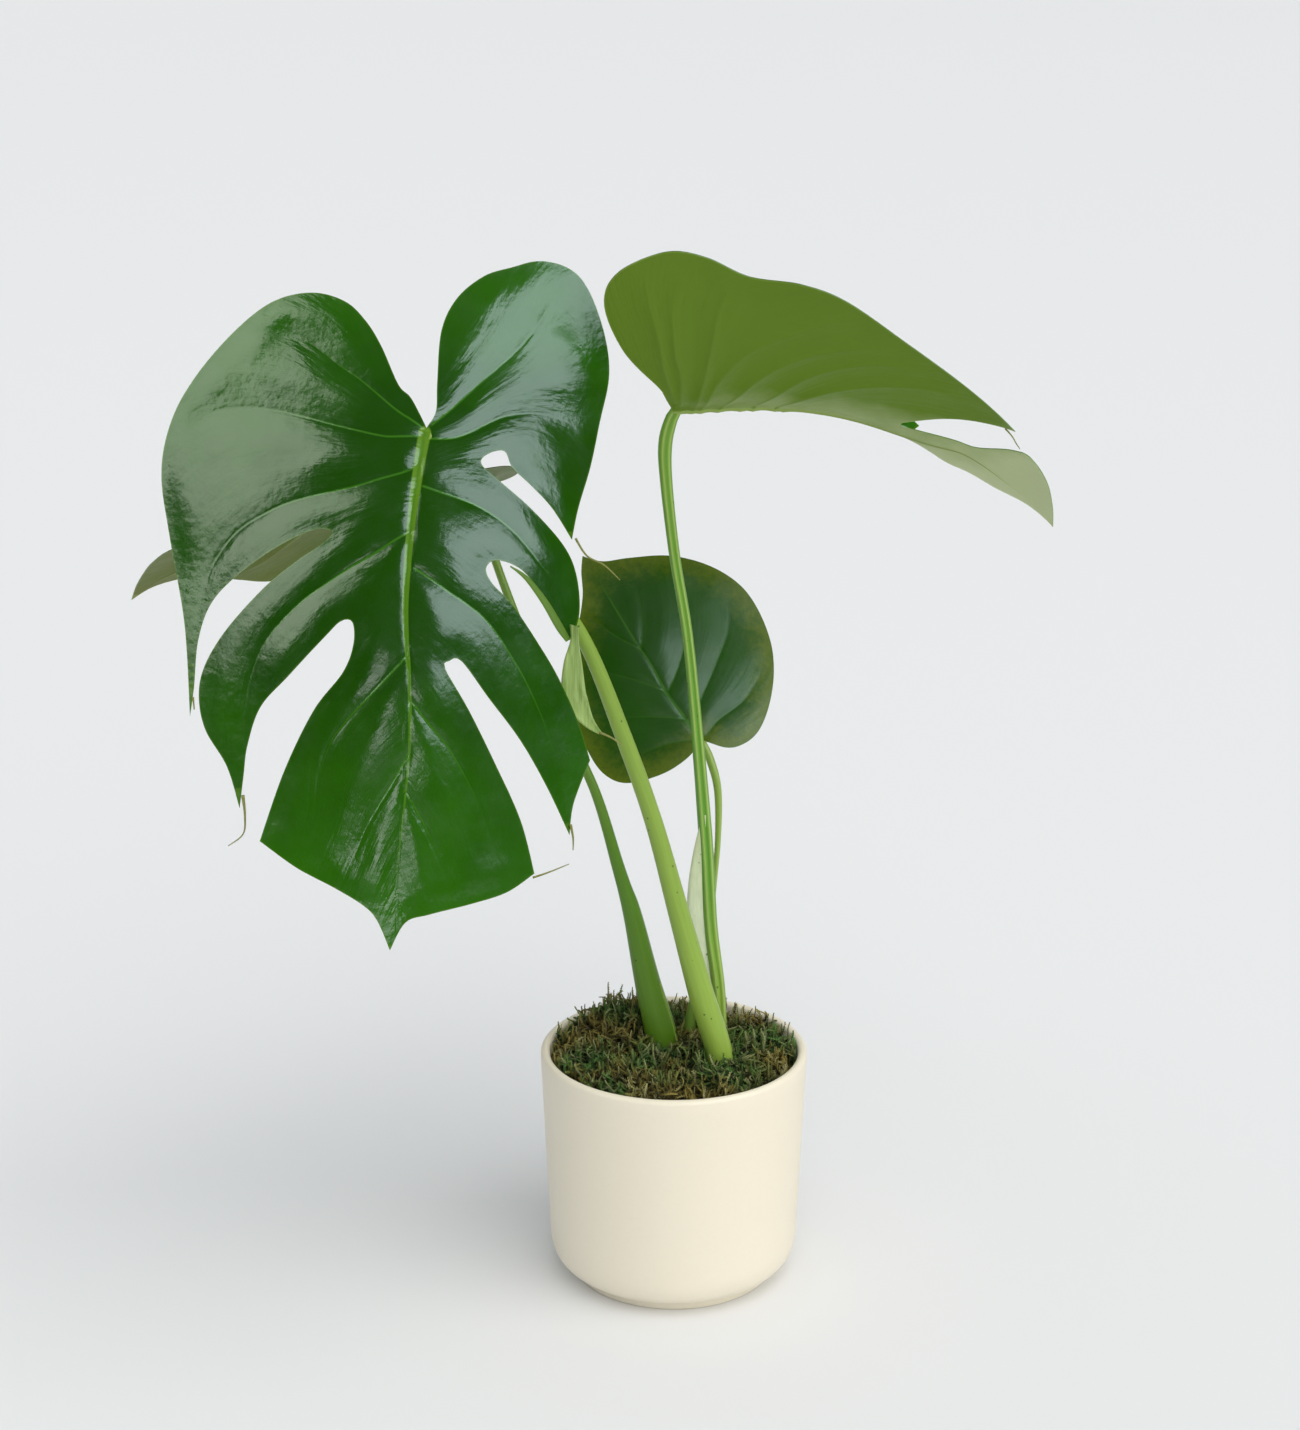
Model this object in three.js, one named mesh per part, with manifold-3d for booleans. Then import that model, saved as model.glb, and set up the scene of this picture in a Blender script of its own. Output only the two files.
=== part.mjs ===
// Potted monstera plant: a glazed pot, growing medium, moss dressing and one young plant with four leaves.
//
// Frame: millimetres, +Z up, origin at the centre of the pot's base, -Y towards the front of the plant.
// Every leaf is laid out flat first: x across the blade, y from the petiole's junction towards the tip.
// The flat outline is then bent to the blade's own form and carried to where its petiole holds it.

import * as THREE from 'three';
import { mergeVertices } from 'three/addons/utils/BufferGeometryUtils.js';
import Module from 'manifold-3d';

const wasm = await Module();
wasm.setup();

// ---------------------------------------------------------------- driving dimensions

const clearance = 0.3;          // air between pieces that touch on the real plant
const roundSides = 48;          // facets round the pot, the soil and the moss

const pot = {
  height: 116,
  rimRadius: 65,
  hipRadius: 61,                // outer radius where the straight wall starts to round in to the foot
  hipHeight: 19,
  footRadius: 50,
  footHeight: 5,
  wall: 4.5,
  floor: 7,
  floorInset: 2,                // the cavity's flat floor is this much smaller in radius than the foot
  footStep: 1.2,                // how far the wall overhangs the foot where it starts
  footEdge: 1,                  // width of the foot's lower bevel
  footGroove: 0.5,              // drop from the wall's lower edge into the foot
  hipFullness: [1, 1.5],        // the hip's control point: in from the hip radius, up from the foot
};

const fill = {
  soilDepth: 18,                // from the rim down to the top of the growing medium
  mossDepth: 4,                 // from the rim down to the moss where it meets the wall
  mossCrown: 4,                 // rise of the moss from the wall to the middle of the pot
  mossLump: 1.2,                // half height of the moss's small lumps
  moundHeight: 9,               // the tuft of moss behind and to the left of the leaf stalks
  moundRadius: 18,
  moundCentre: [-25, 30],
};

const bladeThickness = 0.9;
const gridStep = 14;            // facet size of a leaf blade

// A stalk's route: [x, y, z, radius] from its root end to its leaf end.
const crownRoute = [[-4, 6, 46, 8], [2, 5, 62, 11], [10, 4, 78, 13]];

const stalkRoutes = {
  front: [
    [15, -2, 70, 5.5], [23, -13, 92, 6.4], [22, -15, 118, 6.6], [13, -16, 150, 6.3], [2, -17, 192, 5.2],
    [-10, -18, 238, 4.3], [-24, -22, 281, 4], [-41, -28, 327, 3.4], [-62, -34, 362, 3], [-84, -44, 395, 2.8],
    [-104.5, -56.3, 423.8, 2.3],
  ],
  right: [
    [14, 8, 70, 3.2], [22, 12, 94, 3.3], [22.5, 12, 135, 3.2], [18, 13, 174, 3.3], [15.5, 14, 215, 3.4],
    [11, 15, 270, 2.9], [6, 16, 320, 2.6], [0, 17, 357, 2.6], [-4, 18, 392, 2.9], [-4.5, 19.5, 410, 3.2],
    [-1.5, 20, 423.8, 2.6],
  ],
  back: [
    [5, 4, 70, 6], [-4, 4, 94, 7.2], [-6.8, 4, 120, 7.1], [-13.2, 6, 147, 5.9], [-20.3, 9, 181, 4.3],
    [-27, 11, 205, 3.1], [-38, 15, 242, 2.4], [-54, 20, 276, 2.3], [-69, 26, 309, 2.1], [-84, 33, 348, 2], [-94, 39, 379, 2],
  ],
  small: [
    [12, 12, 72, 1.8], [17, 20, 96, 1.9], [18, 21, 140, 1.6], [19, 23, 180, 1.3], [21.5, 28, 212, 1.5],
    [21.5, 34, 236, 1.9], [18, 38.5, 250, 2.1], [15, 41, 256.5, 2.1],
  ],
  bud: [[5, 13, 72, 3], [7, 20, 92, 3.6], [8, 20, 114, 3.2], [8.5, 20, 126, 2], [9, 20, 133, 0.8]],
};

// The thin, pale wing on the inner side of the right stalk's base: [x, z] round its edge.
const rightSheathEdge = [
  [21, 112], [18, 112], [13, 132], [8.5, 154], [6, 176], [7, 196], [10, 216], [13.5, 232], [19, 200],
];
const sheathThickness = 1.2;
const sheathPlace = 12;         // its back face, in Y

// ---------------------------------------------------------------- the leaves
// outline: runs from corner to corner, each a smooth curve; form: [x, y, height] that the blade passes through;
// fold: how steeply each half rises from the midrib, on top of the form, first the half at +x.
// tip and face say which way the blade's tip and its upper side look at the junction.

const frontLeaf = {
  junction: [-109, -60, 430],
  tip: [-5, -45, -89],
  face: [0, -89, 45],
  outline: [
    [[-0.5, -2], [7, -15], [13, -21], [22, -39], [30, -51], [40, -60], [55, -64], [72, -60], [88, -47],
      [105, -26], [115, -6], [118, 17], [112, 46], [102, 85], [96.5, 125]],
    [[95.5, 112], [95, 92], [90, 76], [78, 64], [60, 52.5], [45, 46], [37, 46.5], [39, 51], [52, 60], [66, 71],
      [82, 88], [91, 103], [93, 116], [89, 131], [78, 147], [71, 165]],
    [[70, 150], [69, 138], [64, 122], [52, 109], [37, 93], [30, 86], [25, 86.5], [24, 96], [28, 108], [40, 124],
      [52, 150], [61, 179]],
    [[44, 190], [27, 198], [14, 205], [8, 211], [2, 223]],
    [[-4, 211], [-14, 207], [-32, 201], [-46, 195], [-57, 186]],
    [[-50, 164], [-38, 141], [-26, 120], [-15.5, 104], [-17, 100.5], [-22, 100], [-34, 114], [-48, 130],
      [-60, 148], [-71, 168]],
    [[-72, 154], [-78, 134]],
    [[-72, 118], [-63, 101], [-54, 88], [-42, 73], [-33, 65], [-30, 59], [-34, 54.5], [-45, 57], [-55, 68],
      [-64, 83]],
    [[-67, 82], [-70, 70], [-68, 54], [-62, 42], [-48, 29], [-34, 19], [-25, 12], [-27, 7], [-34, 4], [-38, 11],
      [-47, 18], [-56, 26], [-65, 38]],
    [[-67, 22], [-71, 2], [-74, -20], [-77, -42], [-74, -60], [-66, -78], [-57, -86], [-44, -87], [-32, -82],
      [-20, -76], [-9, -64], [-3.5, -48], [-3.5, -24], [-4, -10], [-0.5, -2]],
  ],
  form: [
    [0, -60, -8], [0, 0, 0], [0, 120, 0], [0, 225, -22], [125, -20, -26], [125, 60, -36], [90, 160, -30],
    [60, -75, -12], [-60, -75, -26], [-105, -20, -66], [-105, 60, -66], [-70, 150, -34], [60, 60, -6],
    [-50, 50, -14],
  ],
  fold: [0, 0],
  midribRadius: 2.2,
};

// The second right-hand finger of the front leaf turns over, so its underside faces forward.
const frontStrap = {
  route: [
    [-44, -76, 347], [-44, -76, 338], [-45, -75.5, 328], [-44.5, -75.5, 317], [-40.5, -75, 306], [-34, -75, 298],
  ],
  halfWidths: [7, 3.2, 4.6, 5.4, 3.6, 0.7],
  turns: [40, 30, 20, 8, 0, 0],
};

const rightLeaf = {
  junction: [0, 20, 427],
  tip: [100, 0, -10],
  face: [9, 46, 89],
  outline: [
    [[0, -1], [11, -4], [24, -9], [46, -27], [68, -37], [83, -32], [93, -13], [92, 5], [86, 25], [87, 48],
      [83, 68], [67, 98], [56, 122], [45, 151]],
    [[35, 138], [22, 119], [13, 107], [9.5, 104], [8, 107], [10, 130], [14, 140], [30, 153], [36, 160], [31, 169],
      [17, 175], [-1, 179]],
    [[-4, 166], [-14, 152], [-21, 141], [-17, 130], [-9, 112], [-10, 106], [-17, 108], [-26, 112], [-36, 118]],
    [[-50, 104], [-64, 90], [-79, 64], [-86, 44], [-88, 22], [-88, 8], [-80, -3], [-65, -9], [-46, -10],
      [-28, -7], [-12, -3], [0, -1]],
  ],
  form: [
    [0, -50, 0], [0, 0, 0], [0, 100, 0], [0, 180, -40], [0, 215, -90], [100, 0, 34], [100, 120, 10],
    [60, 60, 14], [40, 152, -15], [-60, -20, 40], [-100, 0, 54], [-90, 100, 36], [-46, 132, 14], [-17, 130, -10],
    [-14, 152, -20], [3, 115, -3.8], [3, 133, -8.5], [4, 152, -19], [13, 135, -8],
  ],
  fold: [0.1, 0.14],
  midribRadius: 2,
};

const backLeaf = {
  junction: [-96, 40, 385],
  tip: [-100, -5, -20],
  face: [0, 41, 91],
  outline: [
    [[0, -2], [8, -9], [22, -13], [42, -10], [58, 4], [66, 28], [66, 60], [61, 106], [47, 124], [24, 142],
      [18, 160], [27, 174]],
    [[8, 167], [-10, 159], [-26, 151], [-44, 138], [-58, 112], [-68, 74], [-73, 36], [-71, 2], [-62, -18],
      [-43, -24], [-24, -24], [-9, -17], [0, -2]],
  ],
  form: [
    [0, -50, -3], [0, 0, 0], [0, 90, 0], [0, 170, -12], [60, 0, -8], [60, 90, -10], [-60, 0, -8], [-60, 90, -10],
  ],
  fold: [0, 0],
  midribRadius: 1.7,
};

const smallLeaf = {
  junction: [14, 42, 259],
  tip: [-53, 42, 73],
  face: [0, -87, 50],
  outline: [
    [[0, 1], [8, -8.5], [16, -11.5], [26, -10], [37.5, -2], [49, 11], [57, 26], [61, 44], [60, 60], [52, 76], [38, 90],
      [20, 99.5], [8, 105], [1, 113]],
    [[-4, 106], [-10, 95], [-19, 84], [-30, 73], [-40, 61], [-46, 47], [-49, 30], [-49, 14], [-42, 3], [-25, -3],
      [-10, -3], [0, 1]],
  ],
  form: [[0, -30, -3], [0, 0, 0], [0, 60, 2], [0, 115, -6], [50, 40, -8], [-50, 40, -8]],
  fold: [0, 0],
  midribRadius: 1.5,
};

// ---------------------------------------------------------------- solids from three.js geometry

function signedVolume(geometry) {
  const position = geometry.getAttribute('position');
  const index = geometry.getIndex();
  const corners = [new THREE.Vector3(), new THREE.Vector3(), new THREE.Vector3()];
  let total = 0;
  for (let i = 0; i < index.count; i += 3) {
    corners.forEach((corner, k) => corner.fromBufferAttribute(position, index.getX(i + k)));
    total += corners[0].dot(corners[1].clone().cross(corners[2])) / 6;
  }
  return total;
}

// A closed three.js geometry as a manifold-3d solid, turned outside out if it was drawn inside out.
function solid(geometry) {
  const bare = geometry.clone();
  bare.deleteAttribute('normal');
  bare.deleteAttribute('uv');
  const merged = mergeVertices(bare, 1e-4);
  const triVerts = Uint32Array.from(merged.getIndex().array);
  if (signedVolume(merged) < 0) {
    for (let i = 0; i < triVerts.length; i += 3) {
      [triVerts[i], triVerts[i + 1]] = [triVerts[i + 1], triVerts[i]];
    }
  }
  const vertProperties = Float32Array.from(merged.getAttribute('position').array);
  return new wasm.Manifold(new wasm.Mesh({ numProp: 3, vertProperties, triVerts }));
}

function geometryOf(manifold) {
  const mesh = manifold.getMesh();
  const geometry = new THREE.BufferGeometry();
  geometry.setAttribute('position', new THREE.BufferAttribute(mesh.vertProperties.slice(), 3));
  geometry.setIndex(new THREE.BufferAttribute(mesh.triVerts.slice(), 1));
  geometry.computeVertexNormals();
  return geometry;
}

// A profile of [radius, height] turned about Z.
function turned(profile) {
  const geometry = new THREE.LatheGeometry(profile.map(([r, z]) => new THREE.Vector2(r, z)), roundSides);
  return geometry.rotateX(Math.PI / 2);
}

// A round rod along a route of [x, y, z, radius], with air added round it when it is used as a cutter.
function taperedRod(route, { air = 0, sides = 10, step = 11 } = {}) {
  const points = route.map(([x, y, z]) => new THREE.Vector3(x, y, z));
  const curve = new THREE.CatmullRomCurve3(points, false, 'centripetal');
  const perSpan = 20;
  const lengths = curve.getLengths(perSpan * (route.length - 1));
  const stations = route.map((_, i) => lengths[i * perSpan]);
  const steps = Math.max(3, Math.ceil(curve.getLength() / step));
  const section = new THREE.Shape();
  section.absarc(0, 0, 1, 0, 2 * Math.PI);
  const circle = new THREE.Shape(section.getSpacedPoints(sides).slice(0, sides));
  const rod = new THREE.ExtrudeGeometry(circle, { steps, bevelEnabled: false, extrudePath: curve });
  const centres = curve.getSpacedPoints(steps);
  const position = rod.getAttribute('position');
  const vertex = new THREE.Vector3();
  for (let i = 0; i < position.count; i += 1) {
    vertex.fromBufferAttribute(position, i);
    const distances = centres.map((centre) => centre.distanceTo(vertex));
    const ring = distances.indexOf(Math.min(...distances));
    const radius = along(stations, route.map((point) => point[3]), (curve.getLength() * ring) / steps) + air;
    vertex.sub(centres[ring]).multiplyScalar(radius).add(centres[ring]);
    position.setXYZ(i, vertex.x, vertex.y, vertex.z);
  }
  return solid(rod);
}

// Straight-line interpolation of values given at rising stations.
function along(stations, values, at) {
  const next = stations.findIndex((station) => station >= at);
  if (next < 0) return values[values.length - 1];
  if (next === 0) return values[0];
  const share = (at - stations[next - 1]) / (stations[next] - stations[next - 1]);
  return THREE.MathUtils.lerp(values[next - 1], values[next], share);
}

// ---------------------------------------------------------------- pot and filling

const innerRadiusAtRim = pot.rimRadius - pot.wall;
const innerRadiusAtFloor = pot.footRadius - pot.floorInset;
const innerBendHeight = pot.hipHeight + pot.wall;
const innerRadiusAtBend = pot.hipRadius - pot.wall;

// Inner wall of the pot, from its floor up to a height, moved in from the wall by a gap.
function innerWall(top, gap) {
  const bend = new THREE.QuadraticBezierCurve(
    new THREE.Vector2(innerRadiusAtFloor, pot.floor),
    new THREE.Vector2(innerRadiusAtBend, pot.floor),
    new THREE.Vector2(innerRadiusAtBend, innerBendHeight),
  );
  const slope = (innerRadiusAtRim - innerRadiusAtBend) / (pot.height - innerBendHeight);
  const wallRadius = (z) => innerRadiusAtBend + slope * (z - innerBendHeight);
  const lower = bend.getPoints(5).map((p) => [p.x - gap, p.y]);
  return [...lower, [wallRadius(top) - gap, top]];
}

function makePot() {
  const lip = pot.wall / 2;
  const hip = new THREE.QuadraticBezierCurve(
    new THREE.Vector2(pot.footRadius + pot.footStep, pot.footHeight),
    new THREE.Vector2(pot.hipRadius - pot.hipFullness[0], pot.footHeight + pot.hipFullness[1]),
    new THREE.Vector2(pot.hipRadius, pot.hipHeight),
  );
  const rim = new THREE.EllipseCurve(pot.rimRadius - lip, pot.height - lip, lip, lip, 0, Math.PI);
  const outer = [
    [0, 0], [pot.footRadius - pot.footEdge, 0], [pot.footRadius, pot.footEdge],
    [pot.footRadius, pot.footHeight - pot.footGroove],
    ...hip.getPoints(5).map((p) => [p.x, p.y]),
  ];
  const inner = innerWall(pot.height - lip, 0).slice(0, -1).reverse();
  const profile = [...outer, ...rim.getPoints(6).map((p) => [p.x, p.y]), ...inner, [0, pot.floor]];
  return solid(turned(profile));
}

const soilTop = pot.height - fill.soilDepth;

function makeSoil() {
  const side = innerWall(soilTop, clearance).map(([r, z]) => [r, z + (z < soilTop ? clearance : 0)]);
  return solid(turned([[0, pot.floor + clearance], ...side, [0, soilTop]]));
}

// Height of the moss over the point (x, y) of the pot's plan.
function mossHeight(x, y) {
  const share = Math.hypot(x, y) / innerRadiusAtRim;
  const fromMound = Math.hypot(x - fill.moundCentre[0], y - fill.moundCentre[1]) / fill.moundRadius;
  const lumps = Math.sin(x / 4.1) * Math.cos(y / 3.7) + 0.6 * Math.sin((x - y) / 6.3);
  const mound = fill.moundHeight * Math.exp(-fromMound * fromMound);
  return pot.height - fill.mossDepth + fill.mossCrown * (1 - share * share) + mound + fill.mossLump * lumps;
}

// A lumpy disc wider than the pot, trimmed to the pot's own wall with air round it.
function makeMoss() {
  const bottom = soilTop + clearance;
  const widest = Math.max(innerRadiusAtRim, innerRadiusAtBend);
  const rings = 6;
  const flatTop = bottom + 5;   // the top vertices are found by it, then lifted to the moss's own height
  const top = Array.from({ length: rings + 1 }, (_, i) => [widest * (1 - i / rings), flatTop]);
  const geometry = turned([[0, bottom], [widest, bottom], ...top]);
  const position = geometry.getAttribute('position');
  for (let i = 0; i < position.count; i += 1) {
    const x = position.getX(i);
    const y = position.getY(i);
    if (position.getZ(i) > (bottom + flatTop) / 2) position.setZ(i, mossHeight(x, y));
  }
  const above = pot.height + fill.mossCrown + fill.moundHeight;
  const room = turned([[0, pot.floor], ...innerWall(above, clearance), [0, above]]);
  return solid(geometry).intersect(solid(room));
}

// ---------------------------------------------------------------- leaf blades

// Thin-plate spline: the smoothest surface through points of [x, y, height].
function smoothSurface(points) {
  const bulge = (dx, dy) => {
    const squared = Math.max(dx * dx + dy * dy, 1e-9);
    return 0.5 * squared * Math.log(squared);
  };
  const size = points.length + 3;
  const rows = Array.from({ length: size }, () => new Array(size + 1).fill(0));
  points.forEach(([x, y, height], i) => {
    points.forEach(([px, py], j) => {
      rows[i][j] = bulge(x - px, y - py);
    });
    [1, x, y].forEach((term, k) => {
      rows[i][points.length + k] = term;
      rows[points.length + k][i] = term;
    });
    rows[i][size] = height;
  });
  const weights = solve(rows);
  const flat = weights.slice(points.length);
  return (x, y) => points.reduce(
    (sum, [px, py], i) => sum + weights[i] * bulge(x - px, y - py),
    flat[0] + flat[1] * x + flat[2] * y,
  );
}

// Gaussian elimination with row exchange; each row ends with its right-hand side.
function solve(rows) {
  const size = rows.length;
  for (let column = 0; column < size; column += 1) {
    let pivot = column;
    for (let r = column + 1; r < size; r += 1) {
      if (Math.abs(rows[r][column]) > Math.abs(rows[pivot][column])) pivot = r;
    }
    [rows[column], rows[pivot]] = [rows[pivot], rows[column]];
    for (let r = 0; r < size; r += 1) {
      if (r !== column) {
        const factor = rows[r][column] / rows[column][column];
        for (let c = column; c <= size; c += 1) rows[r][c] -= factor * rows[column][c];
      }
    }
  }
  return rows.map((row, i) => row[size] / row[i]);
}

// Height of a leaf's middle layer over its flat layout.
function bladeHeight({ form, fold }) {
  const surface = smoothSurface(form);
  const softness = 4;           // the fold is rounded over about this much each side of the midrib
  return (x, y) => surface(x, y) + (Math.hypot(x, softness) - softness) * (x > 0 ? fold[0] : fold[1]);
}

// The matrix from a leaf's flat layout to its place on the plant.
function leafPlace(leaf) {
  const tip = new THREE.Vector3(...leaf.tip).normalize();
  const face = new THREE.Vector3(...leaf.face);
  face.addScaledVector(tip, -face.dot(tip)).normalize();
  const across = tip.clone().cross(face);
  return new THREE.Matrix4().makeBasis(across, tip, face).setPosition(...leaf.junction);
}

// The flat outline as a three.js shape; a corner stands wherever one run ends and the next begins.
function leafShape(runs) {
  const shape = new THREE.Shape();
  shape.moveTo(...runs[0][0]);
  runs.forEach((run, i) => {
    const points = i === 0 ? run.slice(1) : run;
    shape.splineThru(points.map(([x, y]) => new THREE.Vector2(x, y)));
  });
  return new THREE.Shape(shape.getPoints(2).slice(0, -1));
}

// A bent sheet of the blade's thickness, larger than the leaf, that the outline cuts to shape.
function bentSheet(leaf, height) {
  const flat = leaf.outline.flat();
  const reach = (axis, pick) => pick(...flat.map((point) => point[axis]));
  const low = [reach(0, Math.min) - gridStep, reach(1, Math.min) - gridStep];
  const high = [reach(0, Math.max) + gridStep, reach(1, Math.max) + gridStep];
  const size = [high[0] - low[0], high[1] - low[1]];
  const cells = size.map((length) => Math.ceil(length / gridStep));
  const sheet = new THREE.BoxGeometry(size[0], size[1], bladeThickness, cells[0], cells[1], 1);
  sheet.translate((low[0] + high[0]) / 2, (low[1] + high[1]) / 2, 0);
  const position = sheet.getAttribute('position');
  for (let i = 0; i < position.count; i += 1) {
    position.setZ(i, position.getZ(i) + height(position.getX(i), position.getY(i)));
  }
  return solid(sheet);
}

// The rib under the middle of the blade, thick at the junction and gone near the tip.
function midrib(leaf, height) {
  const tipY = Math.max(...leaf.outline.flat().map((point) => point[1]));
  const start = 4;              // clear of the junction's corner
  const reach = 0.8;            // share of the way to the tip that the rib runs
  const sunk = 0.6;             // share of the rib's radius by which it lies under the blade's middle
  const endRadius = 0.5;
  const stations = 8;
  const route = Array.from({ length: stations + 1 }, (_, i) => {
    const share = i / stations;
    const y = THREE.MathUtils.lerp(start, tipY * reach, share);
    const radius = THREE.MathUtils.lerp(leaf.midribRadius, endRadius, share);
    return [0, y, height(0, y) - radius * sunk, radius];
  });
  return taperedRod(route, { sides: 8, step: 14 });
}

// A finger that turns over: a thin strip whose width swings round its own length.
function turnedFinger({ route, halfWidths, turns }) {
  const points = route.map((point) => new THREE.Vector3(...point));
  const curve = new THREE.CatmullRomCurve3(points, false, 'centripetal');
  const steps = 14;
  const shape = new THREE.Shape([[-1, -1], [1, -1], [1, 1], [-1, 1]].map((p) => new THREE.Vector2(...p)));
  const strip = new THREE.ExtrudeGeometry(shape, { steps, bevelEnabled: false, extrudePath: curve });
  const centres = curve.getSpacedPoints(steps);
  const tangents = centres.map((_, i) => curve.getTangentAt(i / steps));
  const stations = route.map((_, i) => (i * steps) / (route.length - 1));
  const position = strip.getAttribute('position');
  const vertex = new THREE.Vector3();
  for (let i = 0; i < position.count; i += 1) {
    vertex.fromBufferAttribute(position, i);
    const distances = centres.map((centre) => centre.distanceTo(vertex));
    const ring = distances.indexOf(Math.min(...distances));
    const offset = vertex.clone().sub(centres[ring]);
    const sideways = new THREE.Vector3(1, 0, 0).cross(tangents[ring]).normalize();
    const outward = tangents[ring].clone().cross(sideways);
    const across = Math.sign(offset.dot(outward));
    const through = Math.sign(offset.dot(sideways));
    const turn = THREE.MathUtils.degToRad(along(stations, turns, ring));
    const width = outward.applyAxisAngle(tangents[ring], turn);
    const thin = sideways.applyAxisAngle(tangents[ring], turn);
    vertex.copy(centres[ring]);
    vertex.addScaledVector(width, across * along(stations, halfWidths, ring));
    vertex.addScaledVector(thin, (through * bladeThickness) / 2);
    position.setXYZ(i, vertex.x, vertex.y, vertex.z);
  }
  return solid(strip);
}

function makeLeaf(leaf) {
  const height = bladeHeight(leaf);
  const depth = 400;
  const cutter = new THREE.ExtrudeGeometry(leafShape(leaf.outline), { depth, bevelEnabled: false });
  cutter.translate(0, 0, -depth / 2);
  const blade = bentSheet(leaf, height).intersect(solid(cutter)).add(midrib(leaf, height));
  const placed = geometryOf(blade).applyMatrix4(leafPlace(leaf));
  return solid(placed);
}

// ---------------------------------------------------------------- the plant

const crown = taperedRod(crownRoute);
const crownRoom = taperedRod(crownRoute, { air: clearance });

const leaves = {
  front: makeLeaf(frontLeaf).add(turnedFinger(frontStrap)),
  right: makeLeaf(rightLeaf),
  back: makeLeaf(backLeaf),
  small: makeLeaf(smallLeaf),
};

// The wing of a stalk's base, or the room for it when air is added all round.
function makeSheath(edge, atY, air = 0) {
  const shape = new THREE.Shape(edge.map(([x, z]) => new THREE.Vector2(x, z)));
  const bevel = { bevelEnabled: air > 0, bevelThickness: air, bevelSize: air, bevelSegments: 1 };
  const plate = new THREE.ExtrudeGeometry(shape, { depth: sheathThickness, ...bevel });
  plate.rotateX(Math.PI / 2).translate(0, atY, 0);
  return solid(plate);
}

// Every stalk stands clear of the crown and of the stalks before it; plantRoom is all of them with air round them.
const sheathRoom = makeSheath(rightSheathEdge, sheathPlace, clearance);
let plantRoom = crownRoom;
const stalks = {};
for (const [name, route] of Object.entries(stalkRoutes)) {
  stalks[name] = taperedRod(route).subtract(plantRoom);
  plantRoom = plantRoom.add(taperedRod(route, { air: clearance }));
}
stalks.right = stalks.right.add(makeSheath(rightSheathEdge, sheathPlace));
plantRoom = plantRoom.add(sheathRoom);

// ---------------------------------------------------------------- finishes and the scene

const finish = (color, roughness) => new THREE.MeshStandardMaterial({ color, roughness, metalness: 0 });
const glazedCream = finish('#ece5d5', 0.45);
const darkSoil = finish('#3a2c20', 0.95);
const driedMoss = finish('#4a4c1e', 0.95);
const youngStalk = finish('#86a63f', 0.45);
const darkStalk = finish('#4b7d27', 0.45);
const glossyLeaf = finish('#1f5208', 0.3);
const leafUnderside = finish('#5a7d28', 0.5);
const shadedLeaf = finish('#274a0c', 0.4);
const rootStock = finish('#5d5a33', 0.8);

const plant = new THREE.Group();

function addPiece(name, manifold, material) {
  const mesh = new THREE.Mesh(geometryOf(manifold), material);
  mesh.name = name;
  plant.add(mesh);
}

addPiece('pot', makePot(), glazedCream);
addPiece('soil', makeSoil().subtract(plantRoom), darkSoil);
addPiece('moss', makeMoss().subtract(plantRoom), driedMoss);
addPiece('stem_crown', crown, rootStock);
addPiece('bud_sheath', stalks.bud, darkStalk);
addPiece('petiole_front', stalks.front, youngStalk);
addPiece('petiole_right', stalks.right, youngStalk);
addPiece('petiole_back', stalks.back, darkStalk);
addPiece('petiole_small', stalks.small, youngStalk);
addPiece('leaf_front', leaves.front, glossyLeaf);
addPiece('leaf_right', leaves.right, leafUnderside);
addPiece('leaf_back', leaves.back, leafUnderside);
addPiece('leaf_small', leaves.small, shadedLeaf);

export default plant;
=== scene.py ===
# %% [markdown]
# # A potted monstera
#
# A young split-leaf plant stands in a round glazed pot. The CAD frame already holds every piece at its
# real size and place: pot, soil, moss, stalks and leaves. This script keeps those places and gives every
# piece the surface of the real thing: a satin glaze, curled strands of dried moss, grooved stalks and waxy
# leaves.
#
# The frame comes first. Each finished piece is set beside the box of its CAD part as it is made.

# %% Load the frame
import bpy
import numpy as np
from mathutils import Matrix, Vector
from mathutils.geometry import delaunay_2d_cdt


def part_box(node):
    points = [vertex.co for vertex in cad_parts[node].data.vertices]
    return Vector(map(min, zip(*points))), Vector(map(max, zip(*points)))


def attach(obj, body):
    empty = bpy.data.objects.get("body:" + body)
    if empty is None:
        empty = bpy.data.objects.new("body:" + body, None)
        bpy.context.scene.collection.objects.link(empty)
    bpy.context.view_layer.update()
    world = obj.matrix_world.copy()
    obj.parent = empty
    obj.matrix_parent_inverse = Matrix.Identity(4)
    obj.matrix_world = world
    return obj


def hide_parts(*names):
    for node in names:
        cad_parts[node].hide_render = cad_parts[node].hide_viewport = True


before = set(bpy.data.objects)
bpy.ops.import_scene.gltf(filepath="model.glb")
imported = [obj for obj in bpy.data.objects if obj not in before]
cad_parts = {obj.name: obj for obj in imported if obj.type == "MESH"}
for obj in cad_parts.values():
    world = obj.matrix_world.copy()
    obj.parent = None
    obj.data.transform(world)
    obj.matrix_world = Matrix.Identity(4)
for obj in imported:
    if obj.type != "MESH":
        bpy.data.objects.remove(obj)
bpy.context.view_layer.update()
print("frame:", sorted(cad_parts))

# %% [markdown]
# ## Units, colours and one helper for nodes
#
# Blender works in metres and a plant is easier to describe in millimetres, so every length below is in
# millimetres and becomes metres only when a mesh is made. Colours are written as sRGB hex values, the way
# a paint chart gives them, and one function turns them into the linear numbers that a shader wants. Every
# material is built with the same small helper, which adds one node with its settings and links.

# %% Units, colours, node helper
MM = 0.001


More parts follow.
